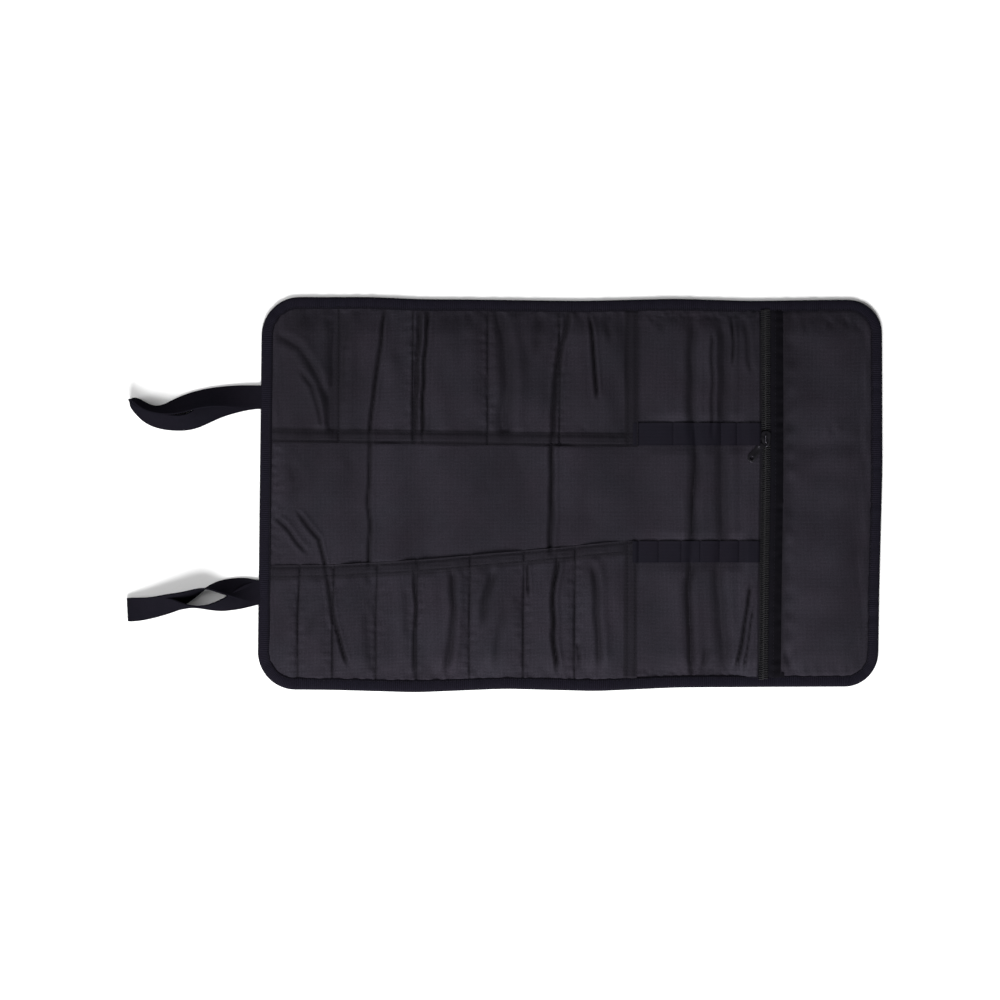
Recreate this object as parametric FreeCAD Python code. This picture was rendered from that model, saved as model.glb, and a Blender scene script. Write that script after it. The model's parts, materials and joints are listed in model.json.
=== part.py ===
"""Brush roll case, laid open.

A padded cloth panel with a row of wide pockets along its upper edge, a row of
narrow pockets along its lower edge, two bands of elastic loops, a zip with a
zip pocket beside it, and two loops of webbing sewn into its left edge that
slip over the case when it is rolled up.

Frame: +X runs along the panel from the webbing loops to the zip pocket, +Y
from the narrow pockets to the wide ones, +Z up. The origin is at the bottom
centre of the box that holds the whole case, loops included. Lengths are in
millimetres. u is measured along the panel from its left edge, v across the
panel from its centre line.

The cloth folds along five lines across its width. It is cut at those lines
into six bays, and each bay is one rigid body.
"""

import FreeCAD, Part
import os

# Panel
PANEL_LENGTH = 508.0
PANEL_WIDTH = 318.0
CORNER_RADIUS = 30.0
LOOP_REACH = 107.0
LEFT_EDGE_X = LOOP_REACH - (PANEL_LENGTH + LOOP_REACH) / 2
FOLD_LINES = (160.0, 243.0, 326.0, 391.5, 453.0)

# Layers, from the floor up
BINDING_PLY = 0.6
SHELL_PLY = 0.8
LINING_PLY = 0.6
SEAM_PLY = 0.6
SHELL_Z = BINDING_PLY
LINING_Z = SHELL_Z + SHELL_PLY
TOP_Z = LINING_Z + LINING_PLY
BINDING_TOP_Z = TOP_Z + SEAM_PLY + BINDING_PLY
BINDING_WIDTH = 9.5
BINDING_WEB = 0.7

# Pockets and loops
POCKET_PLY = 0.7
POCKET_CROWN = 6.0
POCKET_INSET = 10.2
POCKET_WALL = 0.8
SEAM_HALF_WIDTH = 1.2
POCKET_RAMP = 4.0
HEM_WIDTH = 10.5
HEM_EXTRA = 0.5
END_HEM = (298.0, 308.0)
END_HEM_PLY = 1.4
WIDE_SEAMS = (POCKET_INSET, 63.0, 124.0, 185.0, 244.0, END_HEM[0])
NARROW_SEAMS = (POCKET_INSET, 32.0, 60.0, 95.0, 128.0, 171.0, 215.0, 257.0, END_HEM[0])
WIDE_MOUTH = ((0.0, 42.0), (END_HEM[1], 38.0))
NARROW_MOUTH = ((0.0, -59.0), (132.0, -53.7), (238.0, -44.7), (291.0, -39.0), (END_HEM[1], -39.0))

# Elastic loops
LOOP_RAMP = 2.6
ELASTIC_END = 398.0
UPPER_LOOP_SEAMS = (308.0, 337.0, 357.0, 376.0, 391.5)
LOWER_LOOP_SEAMS = (308.0, 325.5, 344.0, 359.6, 375.6, 391.5)
UPPER_ELASTIC = (39.4, 57.8)
LOWER_ELASTIC = (-56.5, -39.0)

# Zip
ZIP_U = 412.5
ZIP_LENGTH = 298.0
CHAIN_GAP = 1.2
COIL_WIDTH = 2.7
COIL_HEIGHT = 1.6
TAPE_PLY = 0.4
TAPE_Z = TOP_Z + 1.3
TAPE_GAP = 1.8
LEFT_TAPE_U = 400.0
RIGHT_TAPE_U = 428.0
FACING = (398.0, 407.0)
FACING_TOP_Z = TAPE_Z + TAPE_PLY + 0.6
COIL_Z = TAPE_Z + TAPE_PLY

# Slider and puller
SLIDER_V = 44.7
SLIDER_LENGTH = 13.0
SLIDER_WIDTH = 9.2
SLIDER_PLATE = 0.8
SLIDER_BASE_Z = 2.3
SLIDER_TOP_Z = COIL_Z + COIL_HEIGHT + 0.4
SLIDER_POST = 0.6
SLIDER_POST_LENGTH = 3.0
BRIDGE_LENGTH = 6.4
BRIDGE_WIDTH = 1.2
BRIDGE_LEG = 0.9
BRIDGE_CLEAR = 1.9
BRIDGE_BAR = 0.9
PULLER_ANGLE = 37.0
PULLER_REACH = 23.0
PULLER_PLY = 1.0
PULLER_EYE_WIDTH = 8.0
PULLER_EYE_HOLE = 6.0
PULLER_EYE_LENGTH = 6.2
PULLER_EYE_WALL = 1.0
PULLER_PIN_RADIUS = 0.6
PULLER_TIP_WIDTH = 6.0
PULLER_TIP_HOLE_RADIUS = 1.4

# Zip pocket
FLAP = (424.0, 507.0)
FLAP_RISE_END = 440.0
FLAP_FALL_START = 488.0
FLAP_FALL_END = 498.0
FLAP_CROWN = 5.6

# Webbing loops
WEBBING_WIDTH = 20.0
WEBBING_PLY = 1.2
LOOP_HEIGHT = 7.2
LOOP_ROOT_GAP = 0.5
LOOP_ROOT_Z = 0.7
LOOP_ROOT_END = 3.5
LOOP_OPEN = 13.0
LOOP_CROTCH = 1.0
LOOP_PLACES = {"upper_webbing_loop": (79.0, 3.0), "lower_webbing_loop": (-81.0, 6.0)}

# Bend at the far end of a webbing loop: points by distance from the end and height from the ply's face
LOOP_BEND = ((3.0, 0.0), (1.0, 0.8), (0.0, 2.2))
LOOP_INNER_BEND = ((2.0, 0.0), (0.0, 1.4))

# Room that cutting shapes leave round the case
CUT_MARGIN = 5.0
CUT_DEPTH = 1.0
CUT_HEIGHT = 15.0


def box(u_range, v_range, z_range):
    """Block between two places along, across and up."""
    size = [pair[1] - pair[0] for pair in (u_range, v_range, z_range)]
    corner = FreeCAD.Vector(LEFT_EDGE_X + u_range[0], v_range[0], z_range[0])
    return Part.makeBox(size[0], size[1], size[2], corner)


def prism(points, axis, depth):
    """Solid swept from a closed outline of straight edges."""
    outline = Part.makePolygon([FreeCAD.Vector(*point) for point in points + points[:1]])
    return Part.Face(outline).extrude(FreeCAD.Vector(*axis) * depth)


def panel(inset, z_range):
    """Rounded panel, drawn in from the case's outline by inset."""
    span_v = PANEL_WIDTH / 2 - inset
    block = box((inset, PANEL_LENGTH - inset), (-span_v, span_v), z_range)
    upright = [edge for edge in block.Edges if abs(edge.tangentAt(edge.FirstParameter).z) > 0.9]
    return block.makeFillet(max(CORNER_RADIUS - inset, 1.0), upright)


def bay(index, shape):
    """The part of a shape that lies in one bay."""
    limits = (-CUT_MARGIN,) + FOLD_LINES + (PANEL_LENGTH + CUT_MARGIN,)
    reach = PANEL_WIDTH / 2 + CUT_MARGIN
    return shape.common(box(limits[index - 1 : index + 1], (-reach, reach), (-CUT_DEPTH, CUT_HEIGHT)))


def join(shapes):
    """One shape from several that touch."""
    return shapes[0].fuse(shapes[1:]).removeSplitter()


def arch_line(seams, ramp, rise):
    """Top line of a row of arches that stand between seams, as (u, height) points."""
    line = []
    for start, end in zip(seams[:-1], seams[1:]):
        line.append((start, 0.0))
        line.append((start + SEAM_HALF_WIDTH, 0.0))
        line.append((start + SEAM_HALF_WIDTH + ramp, rise))
        line.append((end - SEAM_HALF_WIDTH - ramp, rise))
        line.append((end - SEAM_HALF_WIDTH, 0.0))
    line.append((seams[-1], 0.0))
    return line


def arch_sheet(seams, ramp, rise, ply, v_range):
    """Sheet of cloth arched between seams, on top of the lining."""
    line = arch_line(seams, ramp, rise)
    top = [(LEFT_EDGE_X + u, v_range[0], TOP_Z + ply + z) for u, z in line]
    under = [(LEFT_EDGE_X + u, v_range[0], TOP_Z + z) for u, z in line]
    return prism(top + under[::-1], (0, 1, 0), v_range[1] - v_range[0])


def arch_block(seams, ramp, rise, ply, v_range):
    """Solid of everything under such a sheet."""
    line = arch_line(seams, ramp, rise)
    top = [(LEFT_EDGE_X + u, v_range[0], TOP_Z + ply + z) for u, z in line]
    ends = [(top[-1][0], v_range[0], TOP_Z), (top[0][0], v_range[0], TOP_Z)]
    return prism(top + ends, (0, 1, 0), v_range[1] - v_range[0])


def footprint(mouth, side, offset, z_range):
    """Area between a mouth line, moved by offset, and one long edge of the panel."""
    edge_v = side * PANEL_WIDTH / 2
    line = [(LEFT_EDGE_X + u, v + offset, z_range[0]) for u, v in mouth]
    far = [(line[-1][0], edge_v, z_range[0]), (line[0][0], edge_v, z_range[0])]
    return prism(line + far, (0, 0, 1), z_range[1] - z_range[0])


def pocket_row(seams, mouth, side):
    """A whole row of pockets: arches, mouth hem, closed outer ends and the strip under the binding."""
    span = (-PANEL_WIDTH / 2, PANEL_WIDTH / 2)
    heights = (TOP_Z - CUT_DEPTH, TOP_Z + CUT_HEIGHT)
    area = footprint(mouth, side, 0.0, heights)
    band = area.cut(footprint(mouth, side, side * HEM_WIDTH, heights))
    inside = panel(POCKET_INSET, heights)
    wall = inside.cut(panel(POCKET_INSET + POCKET_WALL, heights))
    sheet = arch_sheet(seams, POCKET_RAMP, POCKET_CROWN - POCKET_PLY, POCKET_PLY, span)
    hem = arch_sheet(seams, POCKET_RAMP, POCKET_CROWN - POCKET_PLY, POCKET_PLY + HEM_EXTRA, span)
    ends = arch_block(seams, POCKET_RAMP, POCKET_CROWN - POCKET_PLY, POCKET_PLY, span)
    strip = panel(BINDING_WEB, (TOP_Z, TOP_Z + SEAM_PLY)).cut(inside).common(area)
    end_hem = box(END_HEM, span, (TOP_Z, TOP_Z + END_HEM_PLY)).common(area).common(inside)
    return join(
        [
            sheet.common(area).common(inside),
            hem.common(band).common(inside),
            ends.common(area).common(wall),
            strip,
            end_hem,
        ]
    )


def elastic_band(seams, v_range):
    """Flat elastic stitched down at its seams, with a loop between each two."""
    loops = arch_sheet(seams, LOOP_RAMP, POCKET_CROWN - POCKET_PLY, POCKET_PLY, v_range)
    tail = box((seams[-1], ELASTIC_END), v_range, (TOP_Z, TOP_Z + POCKET_PLY))
    return join([loops, tail])


def binding():
    """Tape folded round the panel's edge: a U in section, open inwards."""
    whole = panel(0.0, (0.0, BINDING_TOP_Z)).cut(panel(BINDING_WIDTH, (-CUT_DEPTH, CUT_HEIGHT)))
    return whole.cut(panel(BINDING_WEB, (BINDING_PLY, BINDING_TOP_Z - BINDING_PLY)))


def zip_parts():
    """Facing, tapes and coils of the zip, sewn down on both sides of its chain."""
    span = (-ZIP_LENGTH / 2, ZIP_LENGTH / 2)
    tape_heights = (TAPE_Z, TAPE_Z + TAPE_PLY)
    coil_heights = (COIL_Z, COIL_Z + COIL_HEIGHT)
    left_tape = box((LEFT_TAPE_U, ZIP_U - TAPE_GAP / 2), span, tape_heights)
    right_tape = box((ZIP_U + TAPE_GAP / 2, RIGHT_TAPE_U), span, tape_heights)
    facing = box(FACING, span, (TOP_Z, FACING_TOP_Z)).cut(left_tape)
    left_coil_u = ZIP_U - CHAIN_GAP / 2 - COIL_WIDTH
    right_coil_u = ZIP_U + CHAIN_GAP / 2
    return {
        "zip_facing": facing,
        "left_zip_tape": left_tape,
        "right_zip_tape": right_tape,
        "left_zip_coil": box((left_coil_u, left_coil_u + COIL_WIDTH), span, coil_heights),
        "right_zip_coil": box((right_coil_u, right_coil_u + COIL_WIDTH), span, coil_heights),
    }


def slider():
    """Slider: a plate below the tapes, a plate above the coils, a post between, and a bridge."""
    half_u = SLIDER_WIDTH / 2
    half_v = SLIDER_LENGTH / 2
    u_range = (ZIP_U - half_u, ZIP_U + half_u)
    v_range = (SLIDER_V - half_v, SLIDER_V + half_v)
    plate_top = SLIDER_TOP_Z + SLIDER_PLATE
    bar_z = plate_top + BRIDGE_CLEAR
    post_u = (ZIP_U - SLIDER_POST / 2, ZIP_U + SLIDER_POST / 2)
    bridge_u = (ZIP_U - BRIDGE_WIDTH / 2, ZIP_U + BRIDGE_WIDTH / 2)
    bridge_v = (SLIDER_V - BRIDGE_LENGTH / 2, SLIDER_V + BRIDGE_LENGTH / 2)
    pieces = [
        box(u_range, v_range, (SLIDER_TOP_Z, plate_top)),
        box(u_range, v_range, (SLIDER_BASE_Z, SLIDER_BASE_Z + SLIDER_PLATE)),
        box(post_u, (v_range[1] - SLIDER_POST_LENGTH, v_range[1]), (SLIDER_BASE_Z, plate_top)),
        box(bridge_u, bridge_v, (bar_z, bar_z + BRIDGE_BAR)),
        box(bridge_u, (bridge_v[0], bridge_v[0] + BRIDGE_LEG), (plate_top, bar_z + BRIDGE_BAR)),
        box(bridge_u, (bridge_v[1] - BRIDGE_LEG, bridge_v[1]), (plate_top, bar_z + BRIDGE_BAR)),
    ]
    return join(pieces)


def puller():
    """Puller: an eye whose far bar passes under the bridge, and a blade with a hole at its tip."""
    pin_z = SLIDER_TOP_Z + SLIDER_PLATE + BRIDGE_CLEAR / 2
    low_z = pin_z - PULLER_PLY / 2
    eye_half = PULLER_EYE_WIDTH / 2
    tip_half = PULLER_TIP_WIDTH / 2
    hole_half = PULLER_EYE_HOLE / 2
    hole_length = PULLER_EYE_LENGTH - PULLER_EYE_WALL
    blade_length = PULLER_REACH - PULLER_EYE_LENGTH - tip_half
    vector = FreeCAD.Vector
    eye_corner = vector(-eye_half, -PULLER_EYE_LENGTH, low_z)
    eye = Part.makeBox(PULLER_EYE_WIDTH, PULLER_EYE_LENGTH, PULLER_PLY, eye_corner)
    hole_corner = vector(-hole_half, -hole_length, low_z - PULLER_PLY)
    hole = Part.makeBox(PULLER_EYE_HOLE, hole_length, 3 * PULLER_PLY, hole_corner)
    blade_corner = vector(-tip_half, -PULLER_EYE_LENGTH - blade_length, low_z)
    blade = Part.makeBox(PULLER_TIP_WIDTH, blade_length + PULLER_EYE_WALL / 2, PULLER_PLY, blade_corner)
    tip_centre = vector(0, -(PULLER_REACH - tip_half), low_z)
    tip = Part.makeCylinder(tip_half, PULLER_PLY, tip_centre)
    tip_hole_centre = tip_centre - vector(0, 0, PULLER_PLY)
    tip_hole = Part.makeCylinder(PULLER_TIP_HOLE_RADIUS, 3 * PULLER_PLY, tip_hole_centre)
    pin = Part.makeCylinder(PULLER_PIN_RADIUS, PULLER_EYE_WIDTH, vector(-eye_half, 0, pin_z), vector(1, 0, 0))
    shape = join([eye.cut(hole), blade, tip, pin]).cut(tip_hole)
    shape.rotate(vector(0, 0, 0), vector(0, 0, 1), -PULLER_ANGLE)
    shape.translate(vector(LEFT_EDGE_X + ZIP_U, SLIDER_V, 0))
    return shape


def flap():
    """Front of the zip pocket: cloth from the right zip tape over to the right and long edges."""
    heights = (TOP_Z - CUT_DEPTH, TOP_Z + CUT_HEIGHT)
    half = PANEL_WIDTH / 2
    low = TAPE_Z + TAPE_PLY
    crown = TOP_Z + FLAP_CROWN
    line = [(FLAP[0], low), (RIGHT_TAPE_U, low), (FLAP_RISE_END, crown - POCKET_PLY)]
    line += [(FLAP_FALL_START, crown - POCKET_PLY), (FLAP_FALL_END, TOP_Z), (FLAP[1], TOP_Z)]
    under = [(LEFT_EDGE_X + u, -half, z) for u, z in line]
    top = [(x, y, z + POCKET_PLY) for x, y, z in under]
    sheet = prism(top + under[::-1], (0, 1, 0), PANEL_WIDTH)
    floor = [(under[-1][0], -half, TOP_Z), (LEFT_EDGE_X + RIGHT_TAPE_U, -half, TOP_Z)]
    solid = prism(top[1:] + floor, (0, 1, 0), PANEL_WIDTH)
    inside = panel(POCKET_INSET, heights)
    wall = inside.cut(panel(POCKET_INSET + POCKET_WALL, heights))
    beyond_tape = box((RIGHT_TAPE_U, PANEL_LENGTH), (-half, half), heights)
    strip = panel(BINDING_WEB, (TOP_Z, TOP_Z + SEAM_PLY)).cut(inside).common(beyond_tape)
    over_tape = box((FLAP[0], PANEL_LENGTH), (-ZIP_LENGTH / 2, ZIP_LENGTH / 2), heights)
    return join([sheet.common(inside).common(over_tape), solid.common(wall).common(beyond_tape), strip])


def webbing_loop(centre_v, turn):
    """Webbing doubled into a loop: both ends sewn together at the panel's edge."""
    root_top = LOOP_ROOT_Z + 2 * WEBBING_PLY
    outline = [(LOOP_ROOT_GAP, LOOP_ROOT_Z), (LOOP_ROOT_END, LOOP_ROOT_Z), (LOOP_OPEN, 0.0)]
    outline += [(LOOP_REACH - back, rise) for back, rise in LOOP_BEND]
    outline += [(LOOP_REACH - back, LOOP_HEIGHT - rise) for back, rise in LOOP_BEND[::-1]]
    outline += [(LOOP_OPEN, LOOP_HEIGHT), (LOOP_ROOT_END, root_top), (LOOP_ROOT_GAP, root_top)]
    inner_end = LOOP_REACH - WEBBING_PLY
    inner_top = LOOP_HEIGHT - WEBBING_PLY
    hollow = [(LOOP_ROOT_END + LOOP_CROTCH, LOOP_ROOT_Z + WEBBING_PLY), (LOOP_OPEN, WEBBING_PLY)]
    hollow += [(inner_end - back, WEBBING_PLY + rise) for back, rise in LOOP_INNER_BEND]
    hollow += [(inner_end - back, inner_top - rise) for back, rise in LOOP_INNER_BEND[::-1]]
    hollow += [(LOOP_OPEN, inner_top)]
    edge_y = -WEBBING_WIDTH / 2
    solid = prism([(-a, edge_y, z) for a, z in outline], (0, 1, 0), WEBBING_WIDTH)
    shape = solid.cut(prism([(-a, edge_y, z) for a, z in hollow], (0, 1, 0), WEBBING_WIDTH))
    shape.rotate(FreeCAD.Vector(0, 0, 0), FreeCAD.Vector(0, 0, 1), turn)
    shape.translate(FreeCAD.Vector(LEFT_EDGE_X, centre_v, 0))
    half = PANEL_WIDTH / 2
    return shape.common(box((-LOOP_REACH, -LOOP_ROOT_GAP), (-half, half), (-CUT_DEPTH, CUT_HEIGHT)))


def main():
    nodes = {}
    layers = {
        "outer_shell": panel(BINDING_WEB, (SHELL_Z, LINING_Z)),
        "lining": panel(BINDING_WEB, (LINING_Z, TOP_Z)),
        "binding": binding(),
    }
    bay_count = len(FOLD_LINES) + 1
    for name, whole in layers.items():
        for index in range(1, bay_count + 1):
            nodes[f"{name}_{index}"] = bay(index, whole)
    rows = {
        "wide_pockets": pocket_row(WIDE_SEAMS, WIDE_MOUTH, 1),
        "narrow_pockets": pocket_row(NARROW_SEAMS, NARROW_MOUTH, -1),
    }
    for name, whole in rows.items():
        for index in (1, 2, 3):
            nodes[f"{name}_{index}"] = bay(index, whole)
    bands = {
        "upper_elastic": elastic_band(UPPER_LOOP_SEAMS, UPPER_ELASTIC),
        "lower_elastic": elastic_band(LOWER_LOOP_SEAMS, LOWER_ELASTIC),
    }
    for name, whole in bands.items():
        for index in (3, 4, 5):
            nodes[f"{name}_{index}"] = bay(index, whole)
    zip_flap = flap()
    nodes["zip_pocket_flap_5"] = bay(5, zip_flap)
    nodes["zip_pocket_flap_6"] = bay(6, zip_flap)
    nodes.update(zip_parts())
    nodes["zip_slider"] = slider()
    nodes["zip_puller"] = puller()
    for name, (centre_v, turn) in LOOP_PLACES.items():
        nodes[name] = webbing_loop(centre_v, turn)
    os.makedirs("parts", exist_ok=True)
    for name, shape in nodes.items():
        print(name, len(shape.Solids), round(shape.Volume), shape.isValid(), shape.BoundBox)
        shape.exportStep(f"parts/{name}.step")


main()
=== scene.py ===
"""Brush roll case, open and flat: its cloth, tape, webbing, zip and stitching.

Lengths are in millimetres until a piece is placed. u runs along the case from its left edge, v across it
from its centre line, z up from what it lies on. The panel is drawn straight, and place() then bends it to
the slightly wavy outline of a used case. Cloth that runs the whole length is cut midway between fold
lines, where it is stiff, so that each piece spans one fold only.
"""

import json
import math
import bpy
import numpy as np
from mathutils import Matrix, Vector


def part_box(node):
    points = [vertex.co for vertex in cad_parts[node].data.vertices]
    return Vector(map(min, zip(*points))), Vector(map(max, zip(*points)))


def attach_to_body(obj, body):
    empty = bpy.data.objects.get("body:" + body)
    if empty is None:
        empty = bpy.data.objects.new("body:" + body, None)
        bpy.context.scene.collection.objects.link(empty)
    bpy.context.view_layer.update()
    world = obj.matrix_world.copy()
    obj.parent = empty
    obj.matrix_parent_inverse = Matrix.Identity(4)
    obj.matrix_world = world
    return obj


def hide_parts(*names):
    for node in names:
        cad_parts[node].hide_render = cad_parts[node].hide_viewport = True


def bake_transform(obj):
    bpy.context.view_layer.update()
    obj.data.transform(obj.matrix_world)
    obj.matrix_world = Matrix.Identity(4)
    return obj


bl_info = {
    "name": "Brush Roll Case",
    "version": (1, 0, 0),
    "blender": (4, 5, 0),
    "location": "3D View > Sidebar > Roll Case",
    "description": "Builds the cloth, zip, webbing and stitching of a brush roll case",
    "category": "Object",
}

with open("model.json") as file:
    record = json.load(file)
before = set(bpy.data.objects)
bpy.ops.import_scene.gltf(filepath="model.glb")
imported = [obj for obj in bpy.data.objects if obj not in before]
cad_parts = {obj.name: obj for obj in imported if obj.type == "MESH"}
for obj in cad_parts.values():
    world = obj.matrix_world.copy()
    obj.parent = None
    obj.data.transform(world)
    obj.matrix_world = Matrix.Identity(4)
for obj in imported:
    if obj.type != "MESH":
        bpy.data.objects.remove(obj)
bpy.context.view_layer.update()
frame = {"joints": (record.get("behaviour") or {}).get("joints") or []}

MM = 0.001
UV_MM = 100.0

# How far apart the points of each cloth stand
LINING_PITCH = 1.12
POCKET_PITCH = 1.0
FLAP_PITCH = 1.5

# Offsets that a line through points is averaged over, which rounds its corners
ROUNDING = (-9.0, -4.5, 0.0, 4.5, 9.0)


def corner(node, high, axis):
    """One coordinate of a node's box, in millimetres."""
    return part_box(node)[high][axis] / MM


LEFT = corner("binding_1", 0, 0)
LENGTH = corner("binding_6", 1, 0) - LEFT
HALF = corner("binding_1", 1, 1)
BAYS = ("strap_bay", "second_bay", "third_bay", "fourth_bay", "zip_bay", "flap_bay")
FOLDS = [j["pos_m"][0] / MM - LEFT for j in frame["joints"] if j["name"].endswith("_fold")]
CUTS = [0.0] + [(a + b) / 2 for a, b in zip(FOLDS[:-1], FOLDS[1:])] + [LENGTH]
CORNER = 30.0
CORNER_RIGHT = 28.0

# Heights of the layers
SHELL_TOP = corner("outer_shell_1", 1, 2)
LINING_TOP = corner("lining_1", 1, 2)
BINDING_TOP = corner("binding_1", 1, 2)
POCKET_BASE = LINING_TOP + 0.75
ZIP_U = (corner("left_zip_coil", 0, 0) + corner("right_zip_coil", 1, 0)) / 2 - LEFT
ZIP_LOW = corner("left_zip_coil", 0, 1)
ZIP_HIGH = corner("left_zip_coil", 1, 1)
TAPE_TOP = corner("left_zip_tape", 1, 2)
COIL_TOP = corner("left_zip_coil", 1, 2)
SLIDER_V = (corner("zip_slider", 0, 1) + corner("zip_slider", 1, 1)) / 2

# Seams
BINDING_WIDTH = 9.5
BINDING_SEAM = 8.0
WIDE_SEAMS = (63.0, 124.0, 185.0, 244.0)
NARROW_SEAMS = (32.0, 60.0, 95.0, 128.0, 171.0, 215.0, 257.0)
WIDE_SWELL = (3.2, 2.7, 3.3, 2.8, 3.4)
NARROW_SWELL = (2.3, 1.9, 2.4, 2.0, 2.8, 2.7, 2.9, 2.5)
END_HEM = (298.0, 308.0)
END_STITCHES = (END_HEM[0] + 2.0, END_HEM[1] - 1.8)
HEM_WIDTH = 10.5
HEM_STITCHES = (1.7, HEM_WIDTH - 1.7)
WIDE_MOUTH = ((0.0, 42.0), (308.0, 38.0))
NARROW_MOUTH = (
    (0.0, -59.0), (60.0, -58.0), (132.0, -53.7), (171.0, -50.4), (238.0, -44.7), (291.0, -39.0),
    (308.0, -38.6),
)
UPPER_BAND = (39.4, 57.8)
LOWER_BAND = (-56.5, -39.0)
UPPER_BAND_SEAMS = (308.5, 337.0, 357.0, 376.0, 389.0)
LOWER_BAND_SEAMS = (309.0, 325.5, 344.0, 359.6, 375.6, 391.5)
BAND_START = 304.0
FACING_EDGE = 408.4
TAPE_SEAM = 420.8
FLAP_EDGE = 427.0

# Outline waves: how far each edge stands out, at places along it
TOP_WAVE = (
    (0, 1.0), (25, 2.0), (90, 2.0), (130, 0.2), (170, 0.0), (260, -1.2), (340, 0.6), (400, -1.2), (470, -0.2),
    (508, -0.4),
)
BOTTOM_WAVE = (
    (0, -1.5), (60, -2.0), (128, -4.0), (200, -1.0), (275, -3.0), (340, 0.0), (420, 0.5), (508, 0.8),
)
LEFT_WAVE = ((-159, 3.2), (-100, 3.2), (-60, 0.8), (0, 0.3), (90, 0.4), (159, 0.0))
RIGHT_WAVE = ((-159, -3.2), (-80, -2.0), (20, 0.6), (159, 0.2))

# Creases: path, depth, half width
THROUGH_CREASES = (
    (
        ((103, 158), (98.5, 132), (96.5, 108), (92.5, 88), (89.7, 66), (89, 41), (88.4, 0), (88.6, -66)),
        1.2, 1.5,
    ),
    (((252, 160), (246, 118), (240.5, 88), (239.5, 60), (237.8, 38), (236.6, -56)), 1.8, 1.9),
    (((243.6, -46), (239.4, -73), (239.4, -114), (242.8, -147)), 1.9, 1.7),
    (((27, -12), (47, -37), (53, -59), (57, -81), (64, -111), (73, -142)), 1.3, 1.4),
)
LINING_CREASES = (
    (((8, -17), (23, -30), (40, -51)), 1.0, 1.6),
    (((22, 34), (30, 10), (24, -12)), 0.6, 5.0),
    (((72, 40), (74, 12)), 0.4, 4.0),
    (((215, 36), (216, -40)), 0.35, 8.0),
    (((262, 36), (266, -38)), 0.35, 7.0),
    (((354, 148), (352, 90), (355, 40), (354, -38), (350, -70), (352, -110), (354, -148)), 1.7, 3.6),
    (((355.5, 60), (355, 36), (353, -38)), 0.9, 1.1),
    (((350, -50), (351.5, -98), (353.5, -158)), 1.0, 1.6),
    (((369, 135), (369, 42)), 0.9, 1.5),
    (((377, 148), (379, 100), (377, 42), (378, -38), (374, -62), (377, -104), (382, -148)), 1.9, 4.4),
    (((386, 149), (386, 102)), 1.0, 1.3),
    (((396, 149), (398, 118), (402, 96)), 0.8, 2.0),
    (((402, -70), (397, -104), (391, -147)), 1.4, 1.6),
    (((404, -88), (400, -118), (397, -148)), 1.0, 1.3),
    (((318, 148), (321, 138)), 0.8, 1.6),
    (((326, 148), (331, 128)), 0.6, 3.0),
    (((368, -120), (361, -148)), 0.8, 2.2),
)
WIDE_CREASES = (
    (((67, 158), (63, 118), (59.5, 80), (60, 38)), 2.4, 5.2),
    (((8, 132), (31, 119), (46, 96), (57, 72), (58, 50)), 0.9, 3.0),
    (((30, 103), (42, 88), (48.6, 63), (49.5, 50)), 0.75, 1.8),
    (((52, 150), (60, 128)), 0.8, 3.0),
    (((110, 124), (116, 100)), 0.6, 4.5),
    (((137.5, 158), (133.5, 115), (132.2, 80), (132.4, 38)), 1.3, 1.5),
    (((131, 158), (127.5, 117), (126, 75), (125.6, 38)), 1.5, 1.8),
    (((160, 130), (180, 124)), 0.5, 5.0),
    (((195, 158), (201, 98), (199, 38)), 2.1, 4.8),
    (((229, 158), (225, 112)), 1.1, 4.2),
    (((268.6, 149), (271, 125), (275.3, 75)), 1.4, 1.5),
    (((283, 148), (285, 120)), 0.6, 2.6),
    (((262, 60), (266, 48)), 0.5, 2.0),
)
NARROW_CREASES = (
    (((46, -84), (40, -120)), 0.9, 4.5),
    (((86, -60), (92, -76)), 0.9, 2.6),
    (((88, -90), (90, -128), (93, -147)), 0.6, 3.0),
    (((124, -56), (127.5, -90), (126, -148)), 1.2, 1.1),
    (((119, -70), (121, -120)), 0.5, 2.6),
    (((155, -56), (159, -90), (157.5, -114), (151, -146)), 1.6, 2.7),
    (((192, -57), (184, -84), (181, -110)), 1.4, 3.0),
    (((201, -80), (196, -118), (190, -146)), 0.7, 3.2),
    (((218, -48), (219.4, -88)), 1.0, 1.1),
    (((272, -52), (275.4, -89), (277.8, -143)), 1.5, 2.8),
    (((258.5, -116), (260.5, -143)), 0.9, 1.3),
    (((14, -84), (20, -128)), 0.6, 5.0),
)
FLAP_CREASES = (
    (((461, 148), (469, 133)), 1.1, 2.0),
    (((474, 149), (482, 134)), 1.0, 2.0),
    (((484, 146), (493, 128)), 0.8, 2.6),
    (((467, 60), (467.6, 42)), 0.8, 2.4),
    (((430, 36), (465, 40), (500, 38)), 0.8, 7.0),
    (((446, 148), (447, 128)), 0.7, 2.0),
    (((430, -124), (436, -148)), 0.8, 2.2),
    (((500, -60), (494, -120)), 0.7, 5.0),
)

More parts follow.
